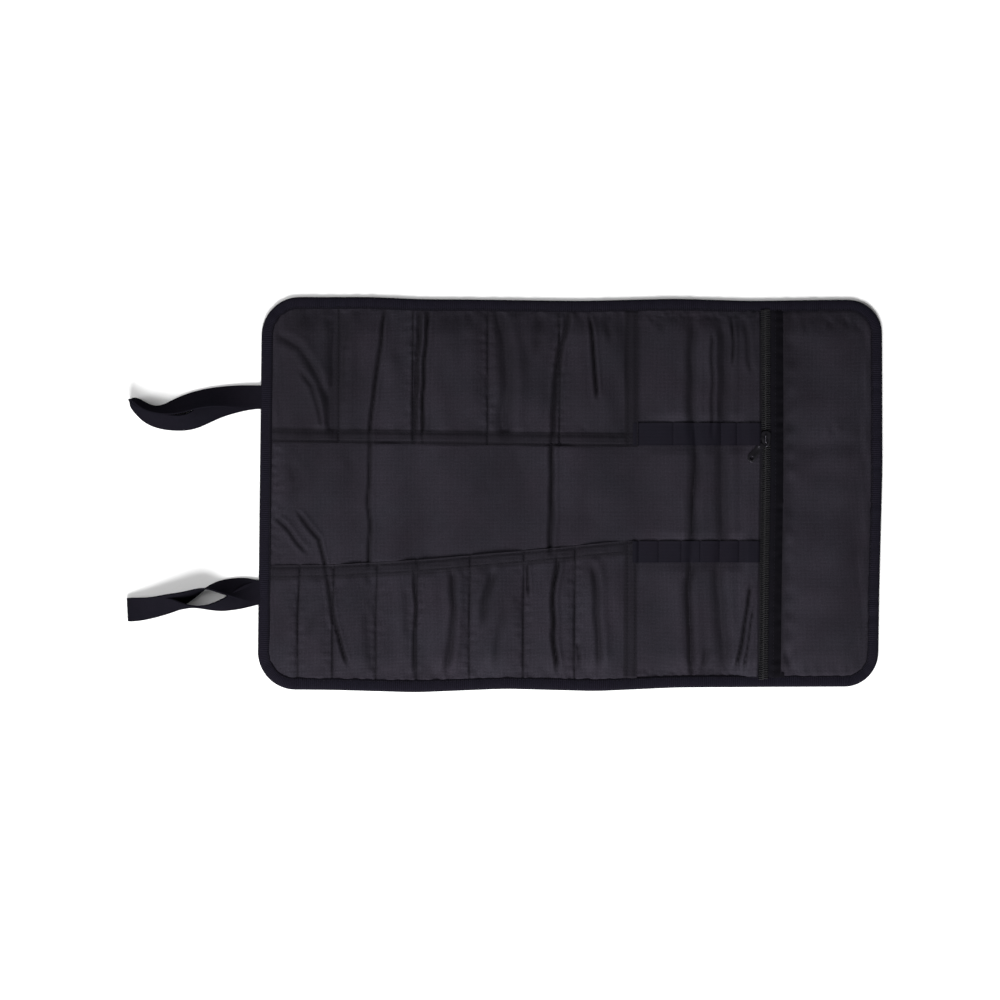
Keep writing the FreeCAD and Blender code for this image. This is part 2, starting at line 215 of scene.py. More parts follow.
# Webbing loops: u, v, z, tilt in degrees, from one sewn end round to the other
UPPER_LOOP = (
    (5, 79, 2.35, 0), (-4, 79, 2.35, 0), (-13, 79.2, 3.4, -10), (-25, 79.4, 5.2, -24), (-39, 79.2, 6.8, -38),
    (-56, 76.2, 7.4, -42), (-71, 70.6, 8.2, -49), (-84, 67.6, 9.2, -74), (-95, 70.4, 9.3, -74),
    (-102, 76.0, 9.3, -76), (-108, 78.0, 9.3, -88), (-107.4, 73.2, 9.2, -100), (-101.5, 67.8, 9.0, -108),
    (-94, 62.8, 8.8, -122), (-84, 59.4, 8.3, -130), (-71, 57.4, 8.3, -128), (-56, 58.2, 7.9, -129),
    (-41, 69.4, 3.0, -158), (-25, 75.2, 2.0, -172), (-13, 77.8, 1.5, -180), (-4, 79, 1.15, -180),
    (5, 79, 1.15, -180),
)
LOWER_LOOP = (
    (5, -81, 2.35, 0), (-4, -80.8, 2.35, 0), (-14, -78, 4.8, -22), (-26, -76.6, 8.0, -46),
    (-36, -76, 9.2, -66),
    (-46, -77, 9.4, -92), (-55, -81.6, 9.4, -108), (-65, -86.2, 9.0, -122), (-75, -89.2, 8.2, -138),
    (-88, -92.8, 6.4, -144), (-100, -94.4, 4.4, -160), (-108, -94.9, 3.1, -174), (-110.4, -95.2, 2.2, -180),
    (-108, -95.4, 1.2, -180), (-100, -94.9, 1.6, -170), (-88, -93.4, 3.6, -150), (-75, -91.4, 5.8, -134),
    (-65, -92, 8.8, -104), (-56, -92.4, 9.3, -92), (-45, -93.4, 9.2, -98), (-34, -92.2, 8.4, -116),
    (-25, -89.8, 6.6, -130),
    (-14, -84.6, 2.6, -158), (-4, -81.2, 1.15, -180), (5, -81, 1.15, -180),
)


# ---------------------------------------------------------------- user settings


def length_property(name, description, default):
    return bpy.props.FloatProperty(name=name, description=description, default=default, unit="LENGTH")


def colour_property(name, description, default):
    return bpy.props.FloatVectorProperty(
        name=name, description=description, default=default, subtype="COLOR", size=3, min=0.0, max=1.0
    )


class RollCaseSizes(bpy.types.PropertyGroup):
    cloth_ply: length_property("Cloth", "Thickness of the lining and pocket cloth", 0.00045)
    shell_ply: length_property("Shell", "Thickness of the padded outer shell", 0.00095)
    tape_ply: length_property("Binding", "Thickness of the binding tape", 0.0005)
    webbing_width: length_property("Webbing width", "Width of the loops' webbing", 0.0192)
    webbing_ply: length_property("Webbing", "Thickness of the loops' webbing", 0.0012)
    stitch_pitch: length_property("Stitch pitch", "Distance from one stitch to the next", 0.0031)
    tooth_pitch: length_property("Coil pitch", "Distance from one turn of the zip's coil to the next", 0.0015)
    weave_pitch: length_property("Weave", "Distance from one yarn of the cloth to the next", 0.0011)


class RollCaseColours(bpy.types.PropertyGroup):
    cloth: colour_property("Cloth", "Lining and pocket cloth", (0.0112, 0.0100, 0.0134))
    shell: colour_property("Shell", "Outer cloth", (0.0100, 0.0090, 0.0122))
    binding: colour_property("Binding", "Ribbed tape round the edge", (0.0042, 0.0038, 0.0066))
    webbing: colour_property("Webbing", "Webbing loops", (0.0058, 0.0054, 0.0078))
    elastic: colour_property("Elastic", "Elastic bands", (0.0052, 0.0047, 0.0073))
    zip_tape: colour_property("Zip tape", "Zip tapes", (0.0042, 0.0040, 0.0055))
    coil: colour_property("Coil", "Nylon coil of the zip", (0.0034, 0.0033, 0.0043))
    thread: colour_property("Thread", "Sewing thread", (0.0062, 0.0058, 0.0085))
    metal: colour_property("Metal", "Plating of the slider and puller", (0.042, 0.040, 0.048))
    floor: colour_property("Floor", "Surface that the case lies on", (0.94, 0.94, 0.94))


def sizes():
    return bpy.context.scene.roll_case_sizes


def colours():
    return bpy.context.scene.roll_case_colours


# ---------------------------------------------------------------- shapes of the cloth


def smooth(low, high, x):
    """0 below low, 1 above high, and an even curve between."""
    t = np.clip((x - low) / (high - low), 0.0, 1.0)
    return t * t * (3.0 - 2.0 * t)


def bell(x, width):
    """1 at the middle, falling evenly to nothing a few widths away."""
    return np.exp(-((x / width) ** 2))


def along_line(points, x):
    """Value of a line through points, rounded at its corners."""
    places, values = np.array(points, float).T
    return sum(np.interp(x + shift, places, values) for shift in ROUNDING) / len(ROUNDING)


def ripple(seed, shortest, longest, count=14):
    """Gentle random waviness, about -1 to 1, the same on every run."""
    random = np.random.default_rng(seed)
    angles = random.uniform(0.0, math.tau, count)
    lengths = np.exp(random.uniform(math.log(shortest), math.log(longest), count))
    phases = random.uniform(0.0, math.tau, count)

    def height(u, v):
        total = 0.0
        for angle, length, phase in zip(angles, lengths, phases):
            total = total + np.sin((u * math.cos(angle) + v * math.sin(angle)) * math.tau / length + phase)
        return total / math.sqrt(count)

    return height


BROAD = ripple(11, 70.0, 190.0)
MIDDLE = ripple(12, 26.0, 60.0)
FINE = ripple(13, 7.0, 16.0)
PUCKER = ripple(14, 5.0, 11.0)
ROLLS = ripple(15, 30.0, 84.0)
GATHER = ripple(16, 11.0, 30.0)


def painted_shading(u, v):
    """Painted light and shade over the cloth, about 1: broad soft lighter and darker bands, as sheen on its
    folds would give, and darker towards the top edge.
    """
    return 1.0 + 0.09 * BROAD(u, v) + 0.09 * ROLLS(u, v * 0.25) + 0.05 * MIDDLE(u, v) - 0.12 * v / HALF


def path_distance(path, u, v):
    """Distance from each point to a path of straight runs, and how far in from the path's ends that is."""
    best = np.full(np.shape(u), 1e9)
    inside = np.zeros(np.shape(u))
    runs = [math.dist(a, b) for a, b in zip(path[:-1], path[1:])]
    before = 0.0
    for (u0, v0), (u1, v1), run in zip(path[:-1], path[1:], runs):
        du, dv = u1 - u0, v1 - v0
        t = np.clip(((u - u0) * du + (v - v0) * dv) / (du * du + dv * dv), 0.0, 1.0)
        d = np.hypot(u - u0 - t * du, v - v0 - t * dv)
        along = before + t * run
        inside = np.where(d < best, np.minimum(along, sum(runs) - along), inside)
        best = np.minimum(best, d)
        before += run
    return best, inside


def near_crease(path, width, u, v):
    """Distance from a crease in its own half widths, and a share that fades out at the crease's ends."""
    distance, inside = path_distance(path, u + 0.7 * MIDDLE(u, v), v + 0.7 * MIDDLE(v, u))
    return distance / width, smooth(0.0, 9.0 + 2.0 * width, inside)


def creased(creases, u, v):
    """Valleys along crease lines, each with a low ridge on both sides."""
    total = np.zeros(np.shape(u))
    for path, depth, width in creases:
        d, taper = near_crease(path, width, u, v)
        total += 1.35 * depth * taper * (0.42 * bell(d - 2.1, 1.2) - np.exp(-d * d))
    return total


def crease_shade(creases, u, v):
    """How much painted shade the cloth gets in its creases, 0 to 1: narrow creases close up and get the
    darkest.
    """
    shade = np.zeros(np.shape(u))
    for path, depth, width in creases:
        d, taper = near_crease(path, width, u, v)
        weight = min(1.0, depth / 1.3) * min(1.0, (1.9 / width) ** 0.95)
        shade = np.maximum(shade, weight * taper * bell(d, 1.0))
    return shade


def edge_distance(u, v):
    """Distance inwards from the outline of the straight panel."""
    radius = np.where(u < LENGTH / 2, CORNER, CORNER_RIGHT)
    across = HALF - np.abs(v)
    along = np.minimum(u, LENGTH - u)
    in_corner = (across < radius) & (along < radius)
    rounded = radius - np.hypot(radius - across, radius - along)
    return np.where(in_corner, rounded, np.minimum(across, along))


def lining_height(u, v):
    """Top of the lining."""
    edge = edge_distance(u, v)
    free = smooth(8.0, 24.0, edge)
    z = LINING_TOP + (0.9 + 0.4 * BROAD(u, v) + 0.15 * MIDDLE(u, v) + 1.05 * ROLLS(u, v * 0.16)) * free
    right = smooth(305.0, 322.0, u) * smooth(9.0, 30.0, edge)
    z = z + right * 1.5
    z = z + (creased(LINING_CREASES, u, v) + 0.9 * creased(THROUGH_CREASES, u, v)) * smooth(7.0, 16.0, edge)
    z = z + 0.25 * PUCKER(u, v) * bell(edge - 12.0, 6.0)
    facing = smooth(390.0, 400.0, u) * (1.0 - smooth(407.4, 409.0, u)) * smooth(5.0, 12.0, edge)
    z = z + facing * 2.3
    under_pockets = 1.0 - smooth(296.0, 308.0, u)
    in_wide = smooth(-1.0, 4.0, v - along_line(WIDE_MOUTH, u))
    in_narrow = smooth(-1.0, 4.0, along_line(NARROW_MOUTH, u) - v)
    in_rows = np.maximum(in_wide, in_narrow)
    z = z - under_pockets * in_rows * (z - LINING_TOP + 0.35)
    for band in (UPPER_BAND, LOWER_BAND):
        over = smooth(band[0] - 9.0, band[0] + 2.0, v) * (1.0 - smooth(band[1] - 2.0, band[1] + 9.0, v))
        pressed = over * smooth(300.0, 308.0, u) * (1.0 - smooth(392.0, 399.0, u))
        z = z - pressed * 0.45 * (z - LINING_TOP)
    beyond = smooth(408.6, 412.0, u)
    z = z - beyond * (z - LINING_TOP + 0.2)
    return np.clip(z, SHELL_TOP + 0.15, LINING_TOP + 6.0)


def row_height(u, v, seams, mouth, side, creases, swell, seed):
    """Top of a row of pockets."""
    edge = edge_distance(u, v)
    into = side * (v - along_line(mouth, u))
    stops = (BINDING_WIDTH,) + seams + (END_HEM[0] + 1.5,)
    puff = np.zeros(np.shape(u))
    for index, (start, end) in enumerate(zip(stops[:-1], stops[1:])):
        t = np.clip((u - start) / (end - start), 0.0, 1.0)
        fullness = swell[index % len(swell)]
        puff += fullness * np.sin(math.pi * t) ** 0.75
    rise = smooth(8.5, 30.0, edge)
    hem = 1.0 - smooth(HEM_WIDTH - 1.5, HEM_WIDTH + 5.0, into)
    near_mouth = 1.0 - smooth(HEM_WIDTH - 1.5, HEM_WIDTH + 34.0, into)
    z = POCKET_BASE + puff * rise * (1.0 - 0.5 * near_mouth)
    folds = creased(creases, u, v) + creased(THROUGH_CREASES, u, v)
    z = z + folds * smooth(8.0, 15.0, edge) * (1.0 - 0.55 * hem)
    near_seam = np.zeros(np.shape(u))
    for seam in seams:
        d = u - seam - 0.35 * MIDDLE(u * 0 + seam, v)
        near_seam = np.maximum(near_seam, bell(d, 7.0))
        z = z - (0.85 - 0.3 * hem) * bell(d, 0.9)
    wobble = ripple(seed, 12.0, 36.0)
    z = z + 0.42 * wobble(u, v * 0.25) * rise * (1.0 - hem)
    z = z + 0.20 * PUCKER(u * 0.6, v) * near_seam * (1.0 - 0.7 * hem)
    z = z + 0.42 * FINE(u, v * 0.25) * bell(edge - 12.5, 6.0)
    z = z + 0.16 * FINE(u, v * 0.4) * bell(into - HEM_WIDTH, 5.0)
    z = z + 0.5 * (1.0 - smooth(HEM_WIDTH - 1.0, HEM_WIDTH + 0.2, into))
    for line in HEM_STITCHES:
        z = z - 0.4 * bell(into - line, 0.8)
    in_end = smooth(END_HEM[0] - 0.8, END_HEM[0] + 0.4, u)
    z = z + in_end * (LINING_TOP + 1.7 - z) * 0.85
    for line in END_STITCHES:
        z = z - 0.28 * bell(u - line, 0.7)
    z = z - (1.0 - smooth(8.0, 10.5, edge)) * (z - LINING_TOP - 0.55)
    return np.maximum(z, lining_height(u, v) + 0.5)


def wide_height(u, v):
    return row_height(u, v, WIDE_SEAMS, WIDE_MOUTH, 1, WIDE_CREASES, WIDE_SWELL, 21)


def narrow_height(u, v):
    return row_height(u, v, NARROW_SEAMS, NARROW_MOUTH, -1, NARROW_CREASES, NARROW_SWELL, 22)


def band_height(u, v, seams):
    """Top of an elastic band, which lies on the lining and is stitched down at its seams."""
    z = lining_height(u, v) + 1.0
    stops = seams + (FACING_EDGE,)
    for start, end in zip(stops[:-1], stops[1:]):
        t = np.clip((u - start) / (end - start), 0.0, 1.0)
        z = z + 0.75 * np.sin(math.pi * t) ** 0.6
    for seam in seams:
        z = z - 0.35 * bell(u - seam, 0.7)
    return z + 1.0 * (1.0 - smooth(306.5, 309.5, u))


def flap_height(u, v):
    """Top of the zip pocket's front."""
    edge = edge_distance(u, v)
    t = np.clip((u - FLAP_EDGE) / (LENGTH - BINDING_WIDTH - FLAP_EDGE), 0.0, 1.0)
    swell = 3.0 * np.sin(math.pi * np.clip(t * 0.86 + 0.16, 0.0, 1.0)) ** 0.7
    z = LINING_TOP + 1.5 + swell * smooth(7.0, 30.0, edge)
    z = z + (creased(FLAP_CREASES, u, v) + 0.45 * MIDDLE(u, v) + 0.6 * BROAD(u, v)) * smooth(8.0, 22.0, edge)
    z = z + 0.45 * GATHER(u * 0.5, v) * bell(u - FLAP_EDGE - 5.0, 5.5) * smooth(8.0, 20.0, edge)
    z = z + 0.4 * FINE(u, v * 0.25) * bell(edge - 12.5, 6.0)
    roll = np.sqrt(np.clip((u - FLAP_EDGE) / 3.0, 0.0, 1.0))
    z = z * roll + (TAPE_TOP + 0.15) * (1.0 - roll)
    z = z - (1.0 - smooth(8.0, 10.5, edge)) * (z - LINING_TOP - 0.55)
    return np.maximum(z, LINING_TOP + 0.5)


def place(u, v, z):
    """Points of the case in metres, with the panel bent to its wavy outline."""
    across = np.clip(v / HALF, -1.0, 1.0)
    lift = np.where(across > 0, along_line(TOP_WAVE, u), -along_line(BOTTOM_WAVE, u))
    drawn_v = v + lift * across * np.abs(across)
    share = np.clip(u / LENGTH, 0.0, 1.0)
    drawn_u = u - along_line(LEFT_WAVE, v) * (1.0 - share) ** 3 + along_line(RIGHT_WAVE, v) * share**3
    return np.stack([(LEFT + drawn_u) * MM, drawn_v * MM, z * MM], axis=-1)


# ---------------------------------------------------------------- mesh helpers


def start_fresh():
    """Object mode with nothing selected."""
    if bpy.context.object is not None and bpy.context.object.mode != "OBJECT":
        bpy.ops.object.mode_set(mode="OBJECT")
    bpy.ops.object.select_all(action="DESELECT")


def take(obj):
    """Select one object alone and make it active."""
    start_fresh()
    obj.select_set(True)
    bpy.context.view_layer.objects.active = obj
    return obj


def named(name):
    obj = bpy.context.object
    obj.name = name
    obj.data.name = name
    return obj


def points_of(obj):
    co = np.empty(len(obj.data.vertices) * 3)
    obj.data.vertices.foreach_get("co", co)
    return co.reshape(-1, 3)


def set_points(obj, points):
    obj.data.vertices.foreach_set("co", np.asarray(points, float).ravel())
    obj.data.update()


def apply_modifiers(obj):
    take(obj)
    for modifier in list(obj.modifiers):
        bpy.ops.object.modifier_apply(modifier=modifier.name)
    return obj


def settle(obj):
    """Put the object's place, turn and size into its mesh."""
    take(obj)
    bpy.ops.object.transform_apply(location=True, rotation=True, scale=True)
    return obj


def smooth_shaded(obj, angle=50.0):
    take(obj)
    bpy.ops.object.shade_smooth_by_angle(angle=math.radians(angle))
    return obj


def steps(stops, pitch):
    """Values that hit every stop and stand about a pitch apart between them."""
    values = [stops[0]]
    for start, end in zip(stops[:-1], stops[1:]):
        count = max(1, round((end - start) / pitch))
        values += [start + (end - start) * k / count for k in range(1, count + 1)]
    return np.array(values)


def add_cloth(name, columns, rows):
    """A flat sheet of so many columns and rows, and each vertex's column and row share."""
    start_fresh()
    bpy.ops.mesh.primitive_grid_add(x_subdivisions=columns, y_subdivisions=rows, size=2.0)
    obj = named(name)
    flat = points_of(obj)
    return obj, (flat[:, 0] + 1.0) / 2.0, (flat[:, 1] + 1.0) / 2.0


def set_uv(obj, across, up):
    """Lay the mesh out flat: its own two directions, in hundreds of millimetres."""
    loops = np.empty(len(obj.data.loops), dtype=np.int32)
    obj.data.loops.foreach_get("vertex_index", loops)
    layer = obj.data.uv_layers[0] if obj.data.uv_layers else obj.data.uv_layers.new(name="UVMap")
    flat = np.stack([across[loops], up[loops]], axis=-1) / UV_MM
    layer.data.foreach_set("uv", flat.ravel())


def set_value(obj, name, values):
    attribute = obj.data.attributes.new(name, "FLOAT", "POINT")
    attribute.data.foreach_set("value", np.asarray(values, np.float32))


def get_value(obj, name):
    values = np.empty(len(obj.data.vertices), np.float32)
    obj.data.attributes[name].data.foreach_get("value", values)
    return values


def keep_between(obj, low, high):
    """Delete the faces whose middle lies outside a stretch along the case."""
    u = get_value(obj, "along")
    take(obj)
    doomed = []
    for polygon in obj.data.polygons:
        middle = sum(u[k] for k in polygon.vertices) / len(polygon.vertices)
        doomed.append(not low < middle < high)
    if not any(doomed):
        return obj
    bpy.context.tool_settings.mesh_select_mode = (False, False, True)
    bpy.ops.object.mode_set(mode="EDIT")
    bpy.ops.mesh.select_all(action="DESELECT")
    bpy.ops.object.mode_set(mode="OBJECT")
    obj.data.polygons.foreach_set("select", doomed)
    bpy.ops.object.mode_set(mode="EDIT")
    bpy.ops.mesh.delete(type="FACE")
    bpy.ops.object.mode_set(mode="OBJECT")
    return obj


def repeat(obj, name, matrices):
    """One mesh of a modelled piece copied to many places."""
    base = points_of(obj)
    faces = [tuple(p.vertices) for p in obj.data.polygons]
    points = []
    polygons = []
    for index, matrix in enumerate(matrices):
        turned = base @ matrix[:3, :3].T + matrix[:3, 3]
        points.append(turned)
        offset = index * len(base)
        polygons += [tuple(k + offset for k in face) for face in faces]
    mesh = bpy.data.meshes.new(name)
    mesh.from_pydata(np.concatenate(points).tolist(), [], polygons)
    made = bpy.data.objects.new(name, mesh)
    bpy.context.scene.collection.objects.link(made)
    return made


def remove(obj):
    mesh = obj.data
    bpy.data.objects.remove(obj)
    bpy.data.meshes.remove(mesh)


def thicken(obj, ply_mm, offset=-1.0):
    modifier = obj.modifiers.new("Ply", "SOLIDIFY")
    modifier.thickness = ply_mm * MM
    modifier.offset = offset
    modifier.use_even_offset = False
    return apply_modifiers(obj)


def fold_of(low, high):
    """Index of the fold line inside a stretch, or None."""
    inside = [k for k, u in enumerate(FOLDS) if low < u < high]
    return inside[0] if inside else None


def bay_at(u):
    return BAYS[sum(1 for fold in FOLDS if fold < u)]


def attach(obj, low, high):
    """Leave a piece that spans a fold as it is, in world space, or let it ride on the one bay it lies in."""
    index = fold_of(low, high)
    if index is None:
        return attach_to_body(obj, bay_at((low + high) / 2))
    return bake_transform(obj)


def paint(obj, material):
    obj.data.materials.clear()
    obj.data.materials.append(material)
    return obj


def stretches(low, high):
    """The cut stretches of the case between two places, numbered as the bays are."""
    found = []
    for index, (start, end) in enumerate(zip(CUTS[:-1], CUTS[1:]), start=1):
        a, b = max(start, low), min(end, high)
        if b - a > 0.5:
            found.append((index, a, b))
    return found


def cloth_piece(name, low, high, v_low, v_high, height, pitch, tone=None, extra=(), coarse=()):
    """A stretch of cloth between two places along the case and two lines across it.

    Coarse gives the shares of its width that other cloth hides, where its rows stand further apart.
    """
    stops = sorted({low, high} | {s for s in extra if low < s < high})
    columns = steps(stops, pitch)
    count = max(2, round((np.max(v_high(columns) - v_low(columns))) / pitch))
    shares = np.linspace(0.0, 1.0, count + 1)
    for start, end in coarse:
        hidden = (shares > start) & (shares < end)
        shares = np.sort(np.concatenate([shares[~hidden], shares[hidden][::3]]))
    obj, s, t = add_cloth(name, len(columns) - 1, len(shares) - 1)
    u = columns[np.rint(s * (len(columns) - 1)).astype(int)]
    t = shares[np.rint(t * (len(shares) - 1)).astype(int)]
    bottom, top = v_low(u), v_high(u)
    v = bottom + (top - bottom) * t
    set_points(obj, place(u, v, height(u, v)))
    set_uv(obj, u, v)
    set_value(obj, "tone", np.ones(len(u)) if tone is None else tone(u, v))
    return obj


def inset_half(inset):
    """Half width of the panel at each place along it, drawn in from the outline."""

    def half(u):
        radius = np.where(u < LENGTH / 2, CORNER, CORNER_RIGHT) - inset
        along = np.minimum(u - inset, LENGTH - inset - u)
        short = np.clip(radius - along, 0.0, radius)
        return HALF - inset - radius + np.sqrt(np.maximum(radius**2 - short**2, 0.0))

    return half


# ---------------------------------------------------------------- finishes


class Finish:
    """A material being wired: adds nodes, joins them and ends in one shader."""

    def __init__(self, name):
        self.material = bpy.data.materials.new(name)
        self.material.use_nodes = True
        self.tree = self.material.node_tree
        self.shader = self.tree.nodes["Principled BSDF"]
        self.row = 0

    def node(self, kind, **settings):
        made = self.tree.nodes.new("ShaderNode" + kind)
        made.location = (-220 * (1 + self.row % 8), -260 * (self.row // 8))
        self.row += 1
        for key, value in settings.items():
            setattr(made, key, value)
        return made

    def feed(self, socket, value):
        if isinstance(value, bpy.types.NodeSocket):
            self.tree.links.new(value, socket)
        else:
            socket.default_value = value

    def math(self, operation, a, b=0.0):
        made = self.node("Math", operation=operation)
        self.feed(made.inputs[0], a)
        self.feed(made.inputs[1], b)
        return made.outputs[0]

    def mix(self, share, a, b):
        """Blend of two colours."""
        made = self.node("Mix", data_type="RGBA")
        self.feed(made.inputs["Factor"], share)
        self.feed(made.inputs["A"], a)
        self.feed(made.inputs["B"], b)
        return made.outputs["Result"]

    def surface(self):
        """The piece's own flat directions, in millimetres."""
        place_node = self.node("UVMap", uv_map="UVMap")
        scaled = self.node("VectorMath", operation="SCALE")
        self.feed(scaled.inputs[0], place_node.outputs[0])
        scaled.inputs["Scale"].default_value = UV_MM
        return scaled.outputs[0]

    def solid_space(self):
        """Object coordinates, in millimetres."""
        place_node = self.node("TexCoord")
        scaled = self.node("VectorMath", operation="SCALE")
        self.feed(scaled.inputs[0], place_node.outputs["Object"])
        scaled.inputs["Scale"].default_value = 1.0 / MM
        return scaled.outputs[0]

    def split(self, vector):
        made = self.node("SeparateXYZ")
        self.feed(made.inputs[0], vector)
        return made.outputs[0], made.outputs[1]

    def noise(self, vector, size, detail=3.0, stretch=(1.0, 1.0, 1.0)):
        """Cloudy values from 0 to 1, with clouds about so many millimetres across."""
        mapping = self.node("Mapping")
        self.feed(mapping.inputs["Vector"], vector)
        mapping.inputs["Scale"].default_value = tuple(k / size for k in stretch)
        made = self.node("TexNoise")
        self.feed(made.inputs["Vector"], mapping.outputs[0])
        made.inputs["Scale"].default_value = 1.0
        made.inputs["Detail"].default_value = detail
        return made.outputs["Fac"]

    def ridge(self, value, pitch):
        """Rounded ridges, 0 to 1, one every pitch."""
        turned = self.math("MULTIPLY", value, math.pi / pitch)
        return self.math("ABSOLUTE", self.math("SINE", turned))

    def tone(self):
        """Darker stretches painted on the piece: painted shade in creases and beside raised edges, painted
        broad shading, and the darker hems and seams.
        """
        return self.node("Attribute", attribute_name="tone").outputs["Fac"]

    def colour(self, base, *shares):
        """A base colour times any number of values."""
        product = shares[0]
        for share in shares[1:]:
            product = self.math("MULTIPLY", product, share)
        made = self.node("VectorMath", operation="SCALE")
        self.feed(made.inputs[0], base)
        self.feed(made.inputs["Scale"], product)
        self.feed(self.shader.inputs["Base Color"], made.outputs[0])

    def between(self, value, low, high):
        made = self.node("MapRange")
        self.feed(made.inputs["Value"], value)
        made.inputs["To Min"].default_value = low
        made.inputs["To Max"].default_value = high
        return made.outputs[0]

    def bump(self, height, depth_mm, strength=1.0):
        made = self.node("Bump")
        made.inputs["Strength"].default_value = strength
        made.inputs["Distance"].default_value = depth_mm * MM
        self.feed(made.inputs["Height"], height)
        self.feed(self.shader.inputs["Normal"], made.outputs[0])

    def gloss(self, roughness, sheen=0.0, specular=0.5, metallic=0.0, tint=(1.0, 1.0, 1.0)):
        self.feed(self.shader.inputs["Roughness"], roughness)
        self.shader.inputs["Sheen Weight"].default_value = sheen
        self.shader.inputs["Sheen Roughness"].default_value = 0.45
        self.shader.inputs["Specular IOR Level"].default_value = specular
        self.shader.inputs["Specular Tint"].default_value = (*tint, 1.0)
        self.shader.inputs["Metallic"].default_value = metallic
        return self.material


def two_shades(finish, base, vector):
    """A base colour that drifts between a warmer and a cooler shade."""
    warm = (base[0] * 1.05, base[1] * 0.97, base[2] * 1.01, 1.0)
    cool = (base[0] * 0.95, base[1] * 1.02, base[2] * 1.02, 1.0)
    return finish.mix(finish.between(finish.noise(vector, 34.0, 2.0), -0.4, 1.4), warm, cool)


YARN_TINT = (0.88, 0.80, 1.0)


def woven_cloth(name, base, pitch, depth):
    """Plain weave of flat nylon yarns."""
    finish = Finish(name)
    flat = finish.surface()
    x, y = finish.split(flat)
    across = finish.ridge(x, pitch)
    along = finish.ridge(y, pitch)
    column = finish.math("FLOOR", finish.math("DIVIDE", x, pitch))
    row = finish.math("FLOOR", finish.math("DIVIDE", y, pitch))
    over = finish.math("PINGPONG", finish.math("ADD", column, row), 1.0)
    warp = finish.math("MULTIPLY", across, finish.math("ADD", finish.math("MULTIPLY", along, 0.6), 0.4))
    weft = finish.math("MULTIPLY", along, finish.math("ADD", finish.math("MULTIPLY", across, 0.6), 0.4))
    warp_over = finish.math("MULTIPLY", warp, over)
    weft_over = finish.math("MULTIPLY", weft, finish.math("SUBTRACT", 1.0, over))
    height = finish.math("ADD", warp_over, weft_over)
    slub_up = finish.noise(flat, 1.0, 2.0, (1.6, 0.05, 1.0))
    slub_across = finish.noise(flat, 1.0, 2.0, (0.05, 1.6, 1.0))
    slubs = finish.math("ADD", finish.between(slub_up, 0.80, 1.20), finish.between(slub_across, -0.2, 0.2))
    mottle = finish.between(finish.noise(flat, 9.0, 4.0), 0.84, 1.16)
    grain = finish.between(finish.noise(flat, 1.2, 2.0), 0.3, 1.7)
    # Painted shade in the hollows between the yarns: the weave's low places are coloured darker.
    weave_shade = finish.between(height, 0.5, 1.35)
    finish.colour(two_shades(finish, base, flat), weave_shade, slubs, mottle, grain, finish.tone())
    finish.bump(finish.math("ADD", height, finish.math("MULTIPLY", grain, 0.7)), depth)
    return finish.gloss(finish.between(grain, 0.46, 0.58), sheen=0.02, specular=0.10, tint=YARN_TINT)


def ribbed_tape(name, base, pitch):
    """Tape with a rib across it at every pitch along its length."""
    finish = Finish(name)
    flat = finish.surface()
    x, y = finish.split(flat)
    ribs = finish.ridge(x, pitch)
    yarns = finish.ridge(y, 0.55)
    height = finish.math("MULTIPLY", ribs, finish.between(yarns, 0.75, 1.0))
    wear = finish.between(finish.noise(flat, 7.0, 4.0), 0.78, 1.24)
    grain = finish.between(finish.noise(flat, 1.3, 2.0), 0.4, 1.6)
    shade = finish.between(height, 0.5, 1.45)
    finish.colour(two_shades(finish, base, flat), shade, wear, grain, finish.tone())
    finish.bump(height, 0.2)
    return finish.gloss(0.60, sheen=0.01, specular=0.05, tint=YARN_TINT)


def smooth_webbing(name, base):
    """Close woven webbing: fine slanting yarns and firm edges."""
    finish = Finish(name)
    flat = finish.surface()
    x, y = finish.split(flat)
    slant = finish.ridge(finish.math("ADD", x, finish.math("MULTIPLY", y, 0.8)), 0.9)
    lanes = finish.ridge(y, 1.6)
    height = finish.math("ADD", finish.math("MULTIPLY", slant, 0.6), finish.math("MULTIPLY", lanes, 0.4))
    wear = finish.between(finish.noise(flat, 6.0, 4.0), 0.84, 1.16)
    grain = finish.between(finish.noise(flat, 0.6, 2.0), 0.8, 1.2)
    # Painted shade in the hollows between the yarns: the webbing's low places are coloured darker.
    finish.colour(two_shades(finish, base, flat), finish.between(height, 0.84, 1.14), wear, grain)
    finish.bump(height, 0.06)
    return finish.gloss(0.60, specular=0.0)


def knitted_elastic(name, base):
    """Flat elastic: fine cords along the band, crossed by close covering yarns."""
    finish = Finish(name)
    flat = finish.surface()
    x, y = finish.split(flat)
    cords = finish.ridge(y, 1.15)
    cover = finish.ridge(x, 0.42)
    height = finish.math("ADD", finish.math("MULTIPLY", cords, 0.7), finish.math("MULTIPLY", cover, 0.3))
    wear = finish.between(finish.noise(flat, 8.0, 3.0), 0.9, 1.1)
    grain = finish.between(finish.noise(flat, 0.6, 2.0), 0.84, 1.16)
    shade = finish.between(height, 0.86, 1.12)
    finish.colour(two_shades(finish, base, flat), shade, wear, grain, finish.tone())
    finish.bump(height, 0.06)
    return finish.gloss(0.60, sheen=0.01, specular=0.05, tint=YARN_TINT)


def zip_tape_cloth(name, base):
    """Zip tape: fine knitted wales along its length."""
    finish = Finish(name)
    flat = finish.surface()
    x, y = finish.split(flat)
    wales = finish.ridge(x, 0.75)
    courses = finish.ridge(y, 0.5)
    height = finish.math("MULTIPLY", wales, finish.between(courses, 0.7, 1.0))
    wear = finish.between(finish.noise(flat, 8.0, 3.0), 0.88, 1.12)
    # Painted shade in the hollows between the wales: the tape's low places are coloured darker.
    finish.colour(two_shades(finish, base, flat), finish.between(height, 0.8, 1.16), wear, finish.tone())
    finish.bump(height, 0.06)
    return finish.gloss(0.55, sheen=0.01, specular=0.035, tint=YARN_TINT)


